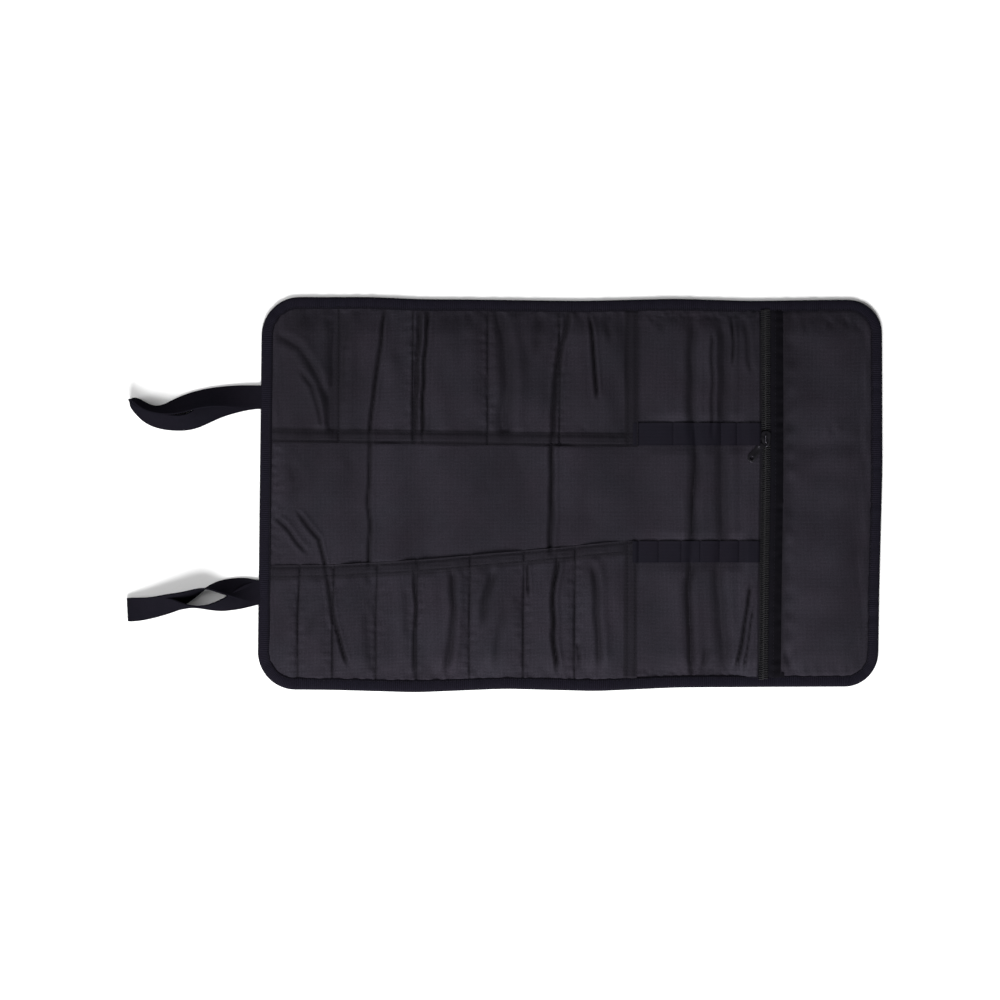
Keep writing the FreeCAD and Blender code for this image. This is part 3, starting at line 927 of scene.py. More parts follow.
def nylon(name, base):
    """Drawn nylon, slightly cloudy and scuffed."""
    finish = Finish(name)
    space = finish.solid_space()
    cloud = finish.noise(space, 1.6, 3.0)
    scuff = finish.noise(space, 0.5, 2.0)
    finish.colour(base, finish.between(cloud, 0.8, 1.25))
    finish.bump(scuff, 0.02, 0.6)
    return finish.gloss(finish.between(scuff, 0.36, 0.52), specular=0.17)


def twisted_thread(name, base):
    """Sewing thread: plies twisted round each other."""
    finish = Finish(name)
    space = finish.solid_space()
    wave = finish.node("TexWave", wave_type="BANDS", bands_direction="DIAGONAL")
    finish.feed(wave.inputs["Vector"], space)
    wave.inputs["Scale"].default_value = 1.1
    fuzz = finish.between(finish.noise(space, 0.4, 2.0), 0.8, 1.2)
    # Painted shade in the grooves between the twisted plies: the wave's low places are coloured darker.
    finish.colour(base, finish.between(wave.outputs["Fac"], 0.8, 1.2), fuzz)
    finish.bump(wave.outputs["Fac"], 0.05)
    return finish.gloss(0.5, sheen=0.02, specular=0.06, tint=YARN_TINT)


def plated_metal(name, base):
    """Dark plated casting with fine scuffs."""
    finish = Finish(name)
    space = finish.solid_space()
    cloud = finish.noise(space, 3.0, 3.0)
    scuff = finish.noise(space, 0.35, 3.0, (1.0, 0.25, 1.0))
    finish.colour(base, finish.between(cloud, 0.82, 1.15))
    finish.bump(scuff, 0.012, 0.5)
    return finish.gloss(finish.between(scuff, 0.22, 0.36), specular=0.5, metallic=1.0)


def pale_floor(name, base):
    """Smooth studio sheet."""
    finish = Finish(name)
    space = finish.solid_space()
    finish.colour(base, finish.between(finish.noise(space, 400.0, 2.0), 0.995, 1.005))
    return finish.gloss(0.7, specular=0.2)


def finish_named(name):
    """The finish of that name, made when it is first asked for."""
    found = bpy.data.materials.get(name)
    if found is not None:
        return found
    pitch = sizes().weave_pitch / MM
    makers = {
        "lining_cloth": (woven_cloth, "cloth", pitch, 0.13),
        "shell_cloth": (woven_cloth, "shell", pitch * 1.25, 0.10),
        "binding_tape": (ribbed_tape, "binding", 1.6),
        "loop_webbing": (smooth_webbing, "webbing"),
        "band_elastic": (knitted_elastic, "elastic"),
        "wale_tape": (zip_tape_cloth, "zip_tape"),
        "coil_nylon": (nylon, "coil"),
        "sewing_thread": (twisted_thread, "thread"),
        "dark_plating": (plated_metal, "metal"),
        "pale_floor": (pale_floor, "floor"),
    }
    maker, tone, *options = makers[name]
    return maker(name, tuple(getattr(colours(), tone)), *options)


# ---------------------------------------------------------------- the pieces


class ROLLCASE_OT_stage(bpy.types.Operator):
    """Pale floor, soft studio light and a camera straight above the open case"""

    bl_idname = "rollcase.stage"
    bl_label = "Stage"

    def execute(self, context):
        start_fresh()
        bpy.ops.mesh.primitive_plane_add(size=14.0, location=(0, 0, -0.0002))
        floor = settle(named("studio_floor"))
        floor.data.materials.append(finish_named("pale_floor"))
        self.light("key_light", (0.0, -1.5, 1.4), 1.2, 80.0)
        self.light("side_light", (-1.8, 0.1, 1.2), 1.0, 26.0)
        world = context.scene.world or bpy.data.worlds.new("studio")
        context.scene.world = world
        world.use_nodes = True
        world.node_tree.nodes["Background"].inputs["Color"].default_value = (1.0, 1.0, 1.0, 1.0)
        world.node_tree.nodes["Background"].inputs["Strength"].default_value = 0.22
        context.scene.view_settings.view_transform = "Standard"
        self.camera(context)
        return {"FINISHED"}

    def light(self, name, spot, size, power):
        """A soft square light that faces the middle of the case."""
        bpy.ops.object.light_add(type="AREA", location=spot)
        lamp = bpy.context.object
        lamp.name = name
        lamp.data.size = size
        lamp.data.energy = power
        lamp.rotation_euler = (-Vector(spot)).to_track_quat("-Z", "Y").to_euler()

    def camera(self, context):
        """Far above the case and looking straight down, so that it sees the case almost flat."""
        distance = 3.2
        view_width = 0.82
        aim = Vector((-0.0053, -0.0053, 0.0))
        bpy.ops.object.camera_add(location=aim + Vector((0, 0, distance)), rotation=(0, 0, 0))
        camera = bpy.context.object
        camera.name = "camera_above"
        camera.data.sensor_width = 36.0
        camera.data.lens = 36.0 * distance / view_width
        camera.data.clip_end = 20.0
        context.scene.camera = camera


class ROLLCASE_OT_panel(bpy.types.Operator):
    """Lining and padded outer shell, in five stretches"""

    bl_idname = "rollcase.panel"
    bl_label = "Panel"

    def execute(self, context):
        inner = inset_half(1.6)
        for index, low, high in stretches(1.6, LENGTH - 1.6):
            lining = cloth_piece(
                f"lining_cloth_{index}", low, high, lambda u: -inner(u), inner, lining_height, LINING_PITCH,
                self.tone,
                (FACING_EDGE, 412.0), ((0.0, 0.29), (0.645, 1.0)) if index < 3 else (),
            )
            thicken(lining, sizes().cloth_ply / MM)
            smooth_shaded(lining)
            paint(lining, finish_named("lining_cloth"))
            nodes = [f"lining_{index}"] + (["lining_6", "zip_facing"] if index == 5 else [])
            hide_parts(*nodes)
            attach(lining, low, high)
            shell = cloth_piece(
                f"shell_cloth_{index}", low, high, lambda u: -inner(u), inner, self.shell_height, 3.0
            )
            thicken(shell, sizes().shell_ply / MM)
            smooth_shaded(shell)
            paint(shell, finish_named("shell_cloth"))
            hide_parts(f"outer_shell_{index}", *(["outer_shell_6"] if index == 5 else []))
            attach(shell, low, high)
        return {"FINISHED"}

    @staticmethod
    def tone(u, v):
        """Painted shade in the lining's creases, times the painted broad shading."""
        shade = np.maximum(crease_shade(LINING_CREASES, u, v), 0.9 * crease_shade(THROUGH_CREASES, u, v))
        return (1.0 - 0.8 * shade) * painted_shading(u, v)

    @staticmethod
    def shell_height(u, v):
        edge = edge_distance(u, v)
        free = smooth(8.0, 26.0, edge)
        return SHELL_TOP + 0.05 - 0.25 * free + 0.12 * MIDDLE(v, u) * free


class ROLLCASE_OT_binding(bpy.types.Operator):
    """Ribbed tape folded round the edge of the panel"""

    bl_idname = "rollcase.binding"
    bl_label = "Binding"

    SECTION = (
        (9.5, -0.42), (9.1, -0.16), (8.0, -0.22), (7.0, 0.0), (5.4, 0.16), (3.6, 0.22), (2.0, 0.18), (0.9, 0.0),
        (0.25, -0.45), (0.0, -1.1), (0.05, -1.9), (0.4, -2.6), (1.1, -3.02), (2.4, -3.15), (4.5, -3.15),
        (7.0, -3.15), (9.4, -3.1),
    )
    UPPER_POINTS = 9

    def execute(self, context):
        u, v, nu, nv, run = self.outline(2.2)
        count = len(u)
        obj, s, t = add_cloth("binding_whole", count - 1, len(self.SECTION) - 1)
        k = np.rint(s * (count - 1)).astype(int)
        j = np.rint(t * (len(self.SECTION) - 1)).astype(int)
        inset, drop = np.array(self.SECTION).T
        pull = 0.35 * PUCKER(run, run * 0)[k]
        near_seam = np.exp(-(((inset[j] - 8.3) / 2.2) ** 2)) * (j < self.UPPER_POINTS)
        depth = inset[j] + pull * near_seam * 0.8
        place_u, place_v = u[k] + nu[k] * depth, v[k] + nv[k] * depth
        bulge = (0.16 * FINE(run, run * 0)[k] + 0.14 * PUCKER(run * 0.7, run * 0)[k]) * (drop[j] > -1.0)
        z = np.maximum(BINDING_TOP + 0.1 + drop[j] + bulge, 0.03)
        set_points(obj, place(place_u, place_v, z))
        distance = np.concatenate([[0.0], np.cumsum(np.hypot(np.diff(inset), np.diff(drop)))])
        set_uv(obj, run[k], distance[j])
        set_value(obj, "along", u[k])
        # Painted shadow along the tape's inner edge on its upper face, where it meets the cloth.
        set_value(obj, "tone", 1.0 - 0.6 * smooth(7.2, 8.6, inset[j]) * (j < self.UPPER_POINTS))
        for index, low, high in stretches(-5.0, LENGTH + 5.0):
            take(obj)
            bpy.ops.object.duplicate()
            piece = named(f"edge_binding_{index}")
            keep_between(piece, low - 20.0 * (index == 1), high + 20.0 * (index == 5))
            take(piece)
            bpy.ops.object.mode_set(mode="EDIT")
            bpy.ops.mesh.select_all(action="SELECT")
            bpy.ops.mesh.remove_doubles(threshold=0.00001)
            bpy.ops.mesh.normals_make_consistent(inside=False)
            bpy.ops.object.mode_set(mode="OBJECT")
            self.face_outwards(piece)
            thicken(piece, sizes().tape_ply / MM)
            smooth_shaded(piece, 60.0)
            paint(piece, finish_named("binding_tape"))
            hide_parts(f"binding_{index}", *(["binding_6"] if index == 5 else []))
            attach(piece, low, high)
        remove(obj)
        return {"FINISHED"}

    @staticmethod
    def face_outwards(piece):
        """Turn the tape's faces so that those on its top look up."""
        top = [p for p in piece.data.polygons if p.center.z > (BINDING_TOP - 0.3) * MM]
        if sum(p.normal.z for p in top) < 0:
            take(piece)
            bpy.ops.object.mode_set(mode="EDIT")
            bpy.ops.mesh.select_all(action="SELECT")
            bpy.ops.mesh.flip_normals()
            bpy.ops.object.mode_set(mode="OBJECT")

    @staticmethod
    def outline(pitch):
        """Points round the outline from the middle of the top edge, the way inwards and the run so far."""
        start = LENGTH * 0.5
        right, left = LENGTH - CORNER_RIGHT, CORNER
        points = []

        def straight(a, b, side):
            low, high = min(a, b), max(a, b)
            line = steps(sorted({low, high} | {c for c in CUTS[1:-1] if low < c < high}), pitch)
            for u in line if a < b else line[::-1]:
                points.append((u, side * HALF, 0.0, -side))

        def upright(a, b, u, way):
            for v in steps((a, b), pitch):
                points.append((u, v, way, 0.0))

        def round_corner(cu, cv, radius, first, last):
            for angle in np.linspace(first, last, max(4, round(radius * abs(last - first) / pitch)))[1:-1]:
                x, y = math.cos(angle), math.sin(angle)
                points.append((cu + radius * x, cv + radius * y, -x, -y))

        quarter = math.pi / 2
        straight(start, left, 1)
        round_corner(left, HALF - CORNER, CORNER, quarter, 2 * quarter)
        upright(HALF - CORNER, -HALF + CORNER, 0.0, 1.0)
        round_corner(left, -HALF + CORNER, CORNER, 2 * quarter, 3 * quarter)
        straight(left, right, -1)
        round_corner(right, -HALF + CORNER_RIGHT, CORNER_RIGHT, 3 * quarter, 4 * quarter)
        upright(-HALF + CORNER_RIGHT, HALF - CORNER_RIGHT, LENGTH, -1.0)
        round_corner(right, HALF - CORNER_RIGHT, CORNER_RIGHT, 0.0, quarter)
        straight(right, start, 1)
        u, v, nu, nv = np.array(points).T
        run = np.concatenate([[0.0], np.cumsum(np.hypot(np.diff(u), np.diff(v)))])
        return u, v, nu, nv, run


class ROLLCASE_OT_pockets(bpy.types.Operator):
    """Row of wide pockets and row of narrow pockets, each cut from one strip of cloth"""

    bl_idname = "rollcase.pockets"
    bl_label = "Pockets"

    def execute(self, context):
        inner = inset_half(2.4)
        rows = (
            ("wide", WIDE_MOUTH, 1, wide_height, WIDE_SEAMS),
            ("narrow", NARROW_MOUTH, -1, narrow_height, NARROW_SEAMS),
        )
        for name, mouth, side, height, seams in rows:
            for index, low, high in stretches(2.4, END_HEM[1]):
                def mouth_line(u, mouth=mouth):
                    return along_line(mouth, u)

                def outer_line(u, side=side):
                    return side * inner(u)

                v_low, v_high = (mouth_line, outer_line) if side > 0 else (outer_line, mouth_line)

                def tone(u, v, side=side, mouth=mouth, seams=seams):
                    return self.tone(u, v, side, mouth, seams)

                extra = tuple(seam + shift for seam in seams for shift in (-0.9, 0.0, 0.9)) + END_HEM[:1]
                piece = cloth_piece(
                    f"{name}_pocket_row_{index}", low, high, v_low, v_high, height, POCKET_PITCH, tone, extra
                )
                thicken(piece, sizes().cloth_ply / MM)
                smooth_shaded(piece)
                paint(piece, finish_named("lining_cloth"))
                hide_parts(f"{name}_pockets_{index}")
                attach(piece, low, high)
        return {"FINISHED"}

    @staticmethod
    def tone(u, v, side, mouth, seams):
        """The doubled hems and the seams are darker than the single cloth; the creases get painted shade, and
        painted broad shading lies over the whole row.
        """
        into = side * (v - along_line(mouth, u))
        hem = 1.0 - smooth(HEM_WIDTH - 0.6, HEM_WIDTH + 0.4, into)
        end = smooth(END_HEM[0] - 0.5, END_HEM[0] + 0.3, u)
        seam = np.zeros(np.shape(u))
        for place_u in seams:
            seam = np.maximum(seam, np.exp(-(((u - place_u) / 0.9) ** 2)))
        for line in (1.7, HEM_WIDTH - 1.7, HEM_WIDTH + 0.6):
            seam = np.maximum(seam, 0.9 * np.exp(-(((into - line) / 0.8) ** 2)))
        for place_u in (END_HEM[0] - 0.3, END_HEM[0] + 2.0, END_HEM[1] - 1.8):
            seam = np.maximum(seam, 0.9 * np.exp(-(((u - place_u) / 0.8) ** 2)))
        creases = THROUGH_CREASES + (WIDE_CREASES if side > 0 else NARROW_CREASES)
        shade = crease_shade(creases, u, v) * (1.0 - 0.5 * hem)
        doubled = (1.0 - 0.42 * hem) * (1.0 - 0.46 * end * (1.0 - 0.6 * hem))
        return doubled * (1.0 - 0.72 * seam) * (1.0 - 0.8 * shade) * painted_shading(u, v)


class ROLLCASE_OT_bands(bpy.types.Operator):
    """Two bands of elastic, stitched down into loops"""

    bl_idname = "rollcase.bands"
    bl_label = "Elastic bands"

    def execute(self, context):
        for name, (low_v, high_v), seams in (
            ("upper", UPPER_BAND, UPPER_BAND_SEAMS),
            ("lower", LOWER_BAND, LOWER_BAND_SEAMS),
        ):
            for index, low, high in stretches(BAND_START, FACING_EDGE + 0.4):
                def height(u, v, seams=seams):
                    return band_height(u, v, seams)

                piece = cloth_piece(
                    f"{name}_band_{index}", low, high,
                    lambda u, v=low_v: v + 0 * u, lambda u, v=high_v: v + 0 * u, height, 0.9, extra=seams,
                )
                thicken(piece, 0.7)
                smooth_shaded(piece)
                paint(piece, finish_named("band_elastic"))
                nodes = {3: (f"{name}_elastic_3",), 4: (f"{name}_elastic_4", f"{name}_elastic_5")}
                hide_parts(*nodes[index])
                attach(piece, low, high)
        return {"FINISHED"}


class ROLLCASE_OT_zip(bpy.types.Operator):
    """Zip tapes and the meshed nylon coil between them"""

    bl_idname = "rollcase.zip"
    bl_label = "Zip"

    def execute(self, context):
        end = HALF - 4.0
        edges = (
            ("left_tape", 399.5, ZIP_U - 0.7, "left_zip_tape"),
            ("right_tape", ZIP_U + 0.7, FLAP_EDGE + 3.0, "right_zip_tape"),
        )
        for name, low, high, node in edges:
            tape = cloth_piece(
                name, low, high, lambda u: -end + 0 * u, lambda u: end + 0 * u, self.tape_height, 1.5,
                # Painted shadow on the tape beyond its seam, under the rolled edge of the pocket front.
                lambda u, v: 1.0 - 0.55 * smooth(418.5, TAPE_SEAM + 1.0, u),
                (ZIP_U - 3.2, ZIP_U + 3.2, TAPE_SEAM),
            )
            thicken(tape, 0.4)
            smooth_shaded(tape)
            paint(tape, finish_named("wale_tape"))
            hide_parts(node)
            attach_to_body(tape, "zip_bay")
        self.coil("left_coil", -1, "left_zip_coil")
        self.coil("right_coil", 1, "right_zip_coil")
        return {"FINISHED"}

    @staticmethod
    def tape_height(u, v):
        """The tape lies flat, dips beside the coil and puckers a little at its seam."""
        near_coil = np.exp(-(((u - ZIP_U) / 3.4) ** 2))
        end = smooth(2.0, 12.0, HALF - np.abs(v))
        z = TAPE_TOP - 0.1 + 0.14 * PUCKER(u * 0.2, v) * smooth(416.0, 421.0, u)
        z = z - 0.32 * np.exp(-(((u - TAPE_SEAM) / 0.7) ** 2)) + 0.12 * near_coil
        z = z + 0.5 * smooth(422.0, 426.0, u) * FINE(u * 0.1, v) * 0.5
        return z * end + (LINING_TOP + 0.5) * (1.0 - end)

    def coil(self, name, side, node):
        """Every turn of the coil: a wire that comes in over the tape, rounds its head and goes back under."""
        start_fresh()
        bpy.ops.mesh.primitive_cylinder_add(
            vertices=7, radius=0.46, depth=1.0, end_fill_type="NGON", rotation=(0, math.pi / 2, 0)
        )
        turn = named("turn")
        settle(turn)
        take(turn)
        bpy.ops.object.mode_set(mode="EDIT")
        bpy.ops.mesh.select_all(action="SELECT")
        bpy.ops.mesh.subdivide(number_cuts=1)
        for share in (0.12, 0.45, 0.72, 0.90):
            bpy.ops.mesh.select_all(action="SELECT")
            bpy.ops.mesh.bisect(plane_co=(share - 0.5, 0, 0), plane_no=(1, 0, 0))
        bpy.ops.object.mode_set(mode="OBJECT")
        points = points_of(turn)
        t = points[:, 0] + 0.5
        head = np.exp(-(((t - 0.86) / 0.12) ** 2))
        width = 1.0 + 0.35 * head - 0.75 * (t > 0.97) - 0.3 * (t < 0.02)
        high = 1.15 - 0.3 * (t > 0.97)
        points[:, 1] *= width
        points[:, 2] = points[:, 2] * high * (1.0 + 0.25 * head) + COIL_TOP - 0.62
        reach = 3.9 + 0.75
        points[:, 0] = side * (3.9 - reach * t)
        points[:, 1] += side * 0.16 * (t - 0.5)
        set_points(turn, points)
        pitch = sizes().tooth_pitch / MM
        matrices = []
        low = ZIP_LOW - 3.5
        random = np.random.default_rng(31)
        for k in range(int((ZIP_HIGH + 3.5 - low) / pitch)):
            v = low + (k + (0.5 if side > 0 else 0.0)) * pitch
            spot = place(np.array([ZIP_U]), np.array([v]), np.array([0.0]))[0]
            sink = 1.3 * (1.0 - smooth(2.5, 12.0, np.array([HALF - abs(v)]))[0])
            matrix = np.eye(4)
            matrix[:3, :3] *= MM * (1.0 + 0.012 * random.standard_normal())
            matrix[:3, 3] = (spot[0], spot[1], (-sink + 0.03 * random.standard_normal()) * MM)
            matrices.append(matrix)
        coil = repeat(turn, name, matrices)
        remove(turn)
        if side > 0:
            take(coil)
            bpy.ops.object.mode_set(mode="EDIT")
            bpy.ops.mesh.select_all(action="SELECT")
            bpy.ops.mesh.normals_make_consistent(inside=False)
            bpy.ops.object.mode_set(mode="OBJECT")
        smooth_shaded(coil, 60.0)
        paint(coil, finish_named("coil_nylon"))
        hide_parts(node)
        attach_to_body(coil, "zip_bay")


class ROLLCASE_OT_zip_pocket(bpy.types.Operator):
    """Front of the zip pocket, which spans the last fold"""

    bl_idname = "rollcase.zip_pocket"
    bl_label = "Zip pocket"

    def execute(self, context):
        inner = inset_half(2.4)
        low, high = FLAP_EDGE, LENGTH - 2.4
        front = cloth_piece(
            "zip_pocket_front", low, high, lambda u: -inner(u), inner, flap_height, FLAP_PITCH, self.tone,
            (FLAP_EDGE + 0.4, FLAP_EDGE + 1.0, FLAP_EDGE + 2.0),
        )
        thicken(front, sizes().cloth_ply / MM)
        smooth_shaded(front)
        paint(front, finish_named("lining_cloth"))
        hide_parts("zip_pocket_flap_5", "zip_pocket_flap_6")
        attach(front, low, high)
        return {"FINISHED"}

    @staticmethod
    def tone(u, v):
        """Painted shade where the front rolls in beside the zip, times the painted broad shading."""
        shade_end = FLAP_EDGE + 9.0 + 2.0 * MIDDLE(u * 0, v)
        return painted_shading(u, v) * (0.58 + 0.42 * smooth(FLAP_EDGE + 0.5, shade_end, u))


class ROLLCASE_OT_slider(bpy.types.Operator):
    """Zip slider with its bridge, and the puller that hangs from it"""

    bl_idname = "rollcase.slider"
    bl_label = "Slider and puller"

    def execute(self, context):
        top_z = corner("zip_slider", 1, 2)
        plate_z = COIL_TOP + 0.45
        self.spot = place(np.array([ZIP_U]), np.array([SLIDER_V]), np.array([0.0]))[0]
        body = self.plate("slider_body", self.body_outline(6.5, 4.3, 3.0), plate_z, 0.85, 0.28)
        under = self.plate("slider_under", self.body_outline(6.2, 4.1, 2.9), 2.35, 0.7, 0.2)
        parts = [body, under, self.bridge(plate_z + 0.8, top_z)]
        for side in (-1, 1):
            parts.append(self.flange(side, plate_z))
        parts.append(self.post(plate_z))
        slider = self.join("zip_slider_cast", parts)
        smooth_shaded(slider, 40.0)
        paint(slider, finish_named("dark_plating"))
        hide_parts("zip_slider")
        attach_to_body(slider, "zip_slider")
        self.puller()
        return {"FINISHED"}

    @staticmethod
    def body_outline(half_length, wide, narrow):
        """Shield shape: broad shoulders at the top, narrower and rounded at the tail."""
        points = []
        for k in range(40):
            angle = math.tau * k / 40
            x, y = math.cos(angle), math.sin(angle)
            power = 0.62
            px = math.copysign(abs(x) ** power, x)
            py = math.copysign(abs(y) ** power, y)
            half = narrow + (wide - narrow) * (0.5 + 0.5 * py) ** 0.8
            points.append((px * half, py * half_length))
        return points

    def plate(self, name, outline, low, thick, soft):
        """A flat casting with the given outline and softened edges, at the slider."""
        start_fresh()
        bpy.ops.mesh.primitive_circle_add(vertices=len(outline), radius=1.0, fill_type="NGON")
        obj = named(name)
        points = points_of(obj)
        order = np.argsort(np.mod(np.arctan2(points[:, 1], points[:, 0]) + 1e-9, math.tau))
        shaped = points.copy()
        for k, (x, y) in zip(order, outline):
            shaped[k] = (x * MM, y * MM, low * MM)
        set_points(obj, shaped)
        take(obj)
        bpy.ops.object.mode_set(mode="EDIT")
        bpy.ops.mesh.select_all(action="SELECT")
        bpy.ops.mesh.extrude_region_move(TRANSFORM_OT_translate={"value": (0, 0, thick * MM)})
        bpy.ops.mesh.select_all(action="SELECT")
        bpy.ops.mesh.normals_make_consistent(inside=False)
        bpy.ops.object.mode_set(mode="OBJECT")
        bevel = obj.modifiers.new("Soft edges", "BEVEL")
        bevel.width = soft * MM
        bevel.segments = 3
        bevel.angle_limit = math.radians(50)
        return apply_modifiers(obj)

    def rod(self, name, path, radius, sides=10):
        """A bent wire: a curve with a round section, made a mesh."""
        start_fresh()
        curve = bpy.data.curves.new(name, "CURVE")
        curve.dimensions = "3D"
        curve.bevel_depth = radius * MM
        curve.bevel_resolution = max(1, sides // 4)
        curve.use_fill_caps = True
        curve.resolution_u = 6
        spline = curve.splines.new("NURBS")
        spline.points.add(len(path) - 1)
        for point, spot in zip(spline.points, path):
            point.co = (spot[0] * MM, spot[1] * MM, spot[2] * MM, 1.0)
        spline.order_u = 3
        spline.use_endpoint_u = True
        obj = bpy.data.objects.new(name, curve)
        bpy.context.scene.collection.objects.link(obj)
        take(obj)
        bpy.ops.object.convert(target="MESH")
        return bpy.context.object

    def bridge(self, low, high):
        """The loop on the slider's back that the puller hangs on."""
        top = high - 0.55
        path = [
            (0, 3.4, low - 0.3), (0, 3.4, low + 0.8), (0, 3.2, top), (0, 1.6, top + 0.05),
            (0, -1.6, top + 0.05), (0, -3.2, top), (0, -3.5, low + 0.8), (0, -3.6, low - 0.3),
        ]
        obj = self.rod("bridge", path, 0.62, 12)
        points = points_of(obj)
        points[:, 0] *= 1.25
        set_points(obj, points)
        return obj

    def flange(self, side, plate_z):
        """Side wall that turns down from the top plate and guides the coil."""
        x = side * 3.8
        path = [
            (x, 4.6, plate_z + 0.1), (x, 1.5, plate_z + 0.05), (x * 0.86, -2.5, plate_z + 0.05),
            (x * 0.76, -5.4, plate_z + 0.1),
        ]
        return self.rod("flange", path, 0.42)

    def post(self, plate_z):
        return self.rod("post", [(0, 4.6, 2.7), (0, 4.6, plate_z * 0.7), (0, 4.6, plate_z + 0.3)], 0.3, 8)

    def join(self, name, parts):
        start_fresh()
        for part in parts:
            part.select_set(True)
        bpy.context.view_layer.objects.active = parts[0]
        bpy.ops.object.join()
        obj = named(name)
        points = points_of(obj)
        points[:, 0] += self.spot[0]
        points[:, 1] += self.spot[1]
        set_points(obj, points)
        return obj

    def puller(self):
        """Eye round the bridge, a waisted blade, and a hole near its rounded tip."""
        swing = next(j for j in frame["joints"] if j["name"] == "zip_puller_swing")
        pin_z = swing["pos_m"][2] / MM
        reach = 23.0
        stops = (
            (0.8, 0.0), (3.2, 0.05), (3.8, -1.0), (3.8, -4.6), (3.2, -6.6), (2.8, -9.0), (2.8, -12.5),
            (3.1, -16.0), (3.3, -19.6), (2.7, -21.9), (1.3, -22.9),
        )
        outline = [(x, y) for x, y in stops] + [(0.0, -reach)] + [(-x, y) for x, y in stops[::-1]]
        outline = outline[::-1]
        start_fresh()
        bpy.ops.mesh.primitive_circle_add(vertices=len(outline), radius=1.0, fill_type="NGON")
        blade = named("zip_puller_blade")
        shaped = np.array([(x * MM, y * MM, 0.0) for x, y in outline])
        set_points(blade, shaped)
        take(blade)
        bpy.ops.object.mode_set(mode="EDIT")
        bpy.ops.mesh.select_all(action="SELECT")
        bpy.ops.mesh.extrude_region_move(TRANSFORM_OT_translate={"value": (0, 0, 1.05 * MM)})
        bpy.ops.mesh.select_all(action="SELECT")
        bpy.ops.mesh.normals_make_consistent(inside=False)
        bpy.ops.object.mode_set(mode="OBJECT")
        bpy.ops.mesh.primitive_cube_add(
            size=1.0, location=(0, -3.1 * MM, 0.5 * MM), scale=(5.9 * MM, 4.0 * MM, 5 * MM)
        )
        eye = settle(named("eye_hole"))
        bpy.ops.mesh.primitive_cylinder_add(
            vertices=28, radius=1.55 * MM, depth=5 * MM, location=(0, -19.6 * MM, 0.5 * MM)
        )
        tip = settle(named("tip_hole"))
        bpy.ops.mesh.primitive_cube_add(
            size=1.0, location=(0, -12.4 * MM, 1.25 * MM), scale=(2.4 * MM, 7.4 * MM, 0.8 * MM)
        )
        recess = settle(named("recess"))
        for cutter in (eye, tip, recess):
            cut = blade.modifiers.new("Cut", "BOOLEAN")
            cut.operation = "DIFFERENCE"
            cut.solver = "EXACT"
            cut.object = cutter
        apply_modifiers(blade)
        for cutter in (eye, tip, recess):
            remove(cutter)
        bevel = blade.modifiers.new("Soft edges", "BEVEL")
        bevel.width = 0.2 * MM
        bevel.segments = 2
        bevel.angle_limit = math.radians(35)
        apply_modifiers(blade)
        angle = math.radians(-37.0)
        tilt = math.radians(-3.4)
        points = points_of(blade)
        x, y, z = points[:, 0], points[:, 1], points[:, 2] - 0.52 * MM
        y, z = y * math.cos(tilt) - z * math.sin(tilt), -y * math.sin(tilt) * -1.0 + z * math.cos(tilt)
        turned_x = x * math.cos(angle) - y * math.sin(angle)
        turned_y = x * math.sin(angle) + y * math.cos(angle)
        placed = (turned_x + self.spot[0], turned_y + self.spot[1], z + pin_z * MM)
        set_points(blade, np.stack(placed, axis=-1))
        smooth_shaded(blade, 35.0)
        paint(blade, finish_named("dark_plating"))
        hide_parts("zip_puller")
        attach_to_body(blade, "zip_puller")


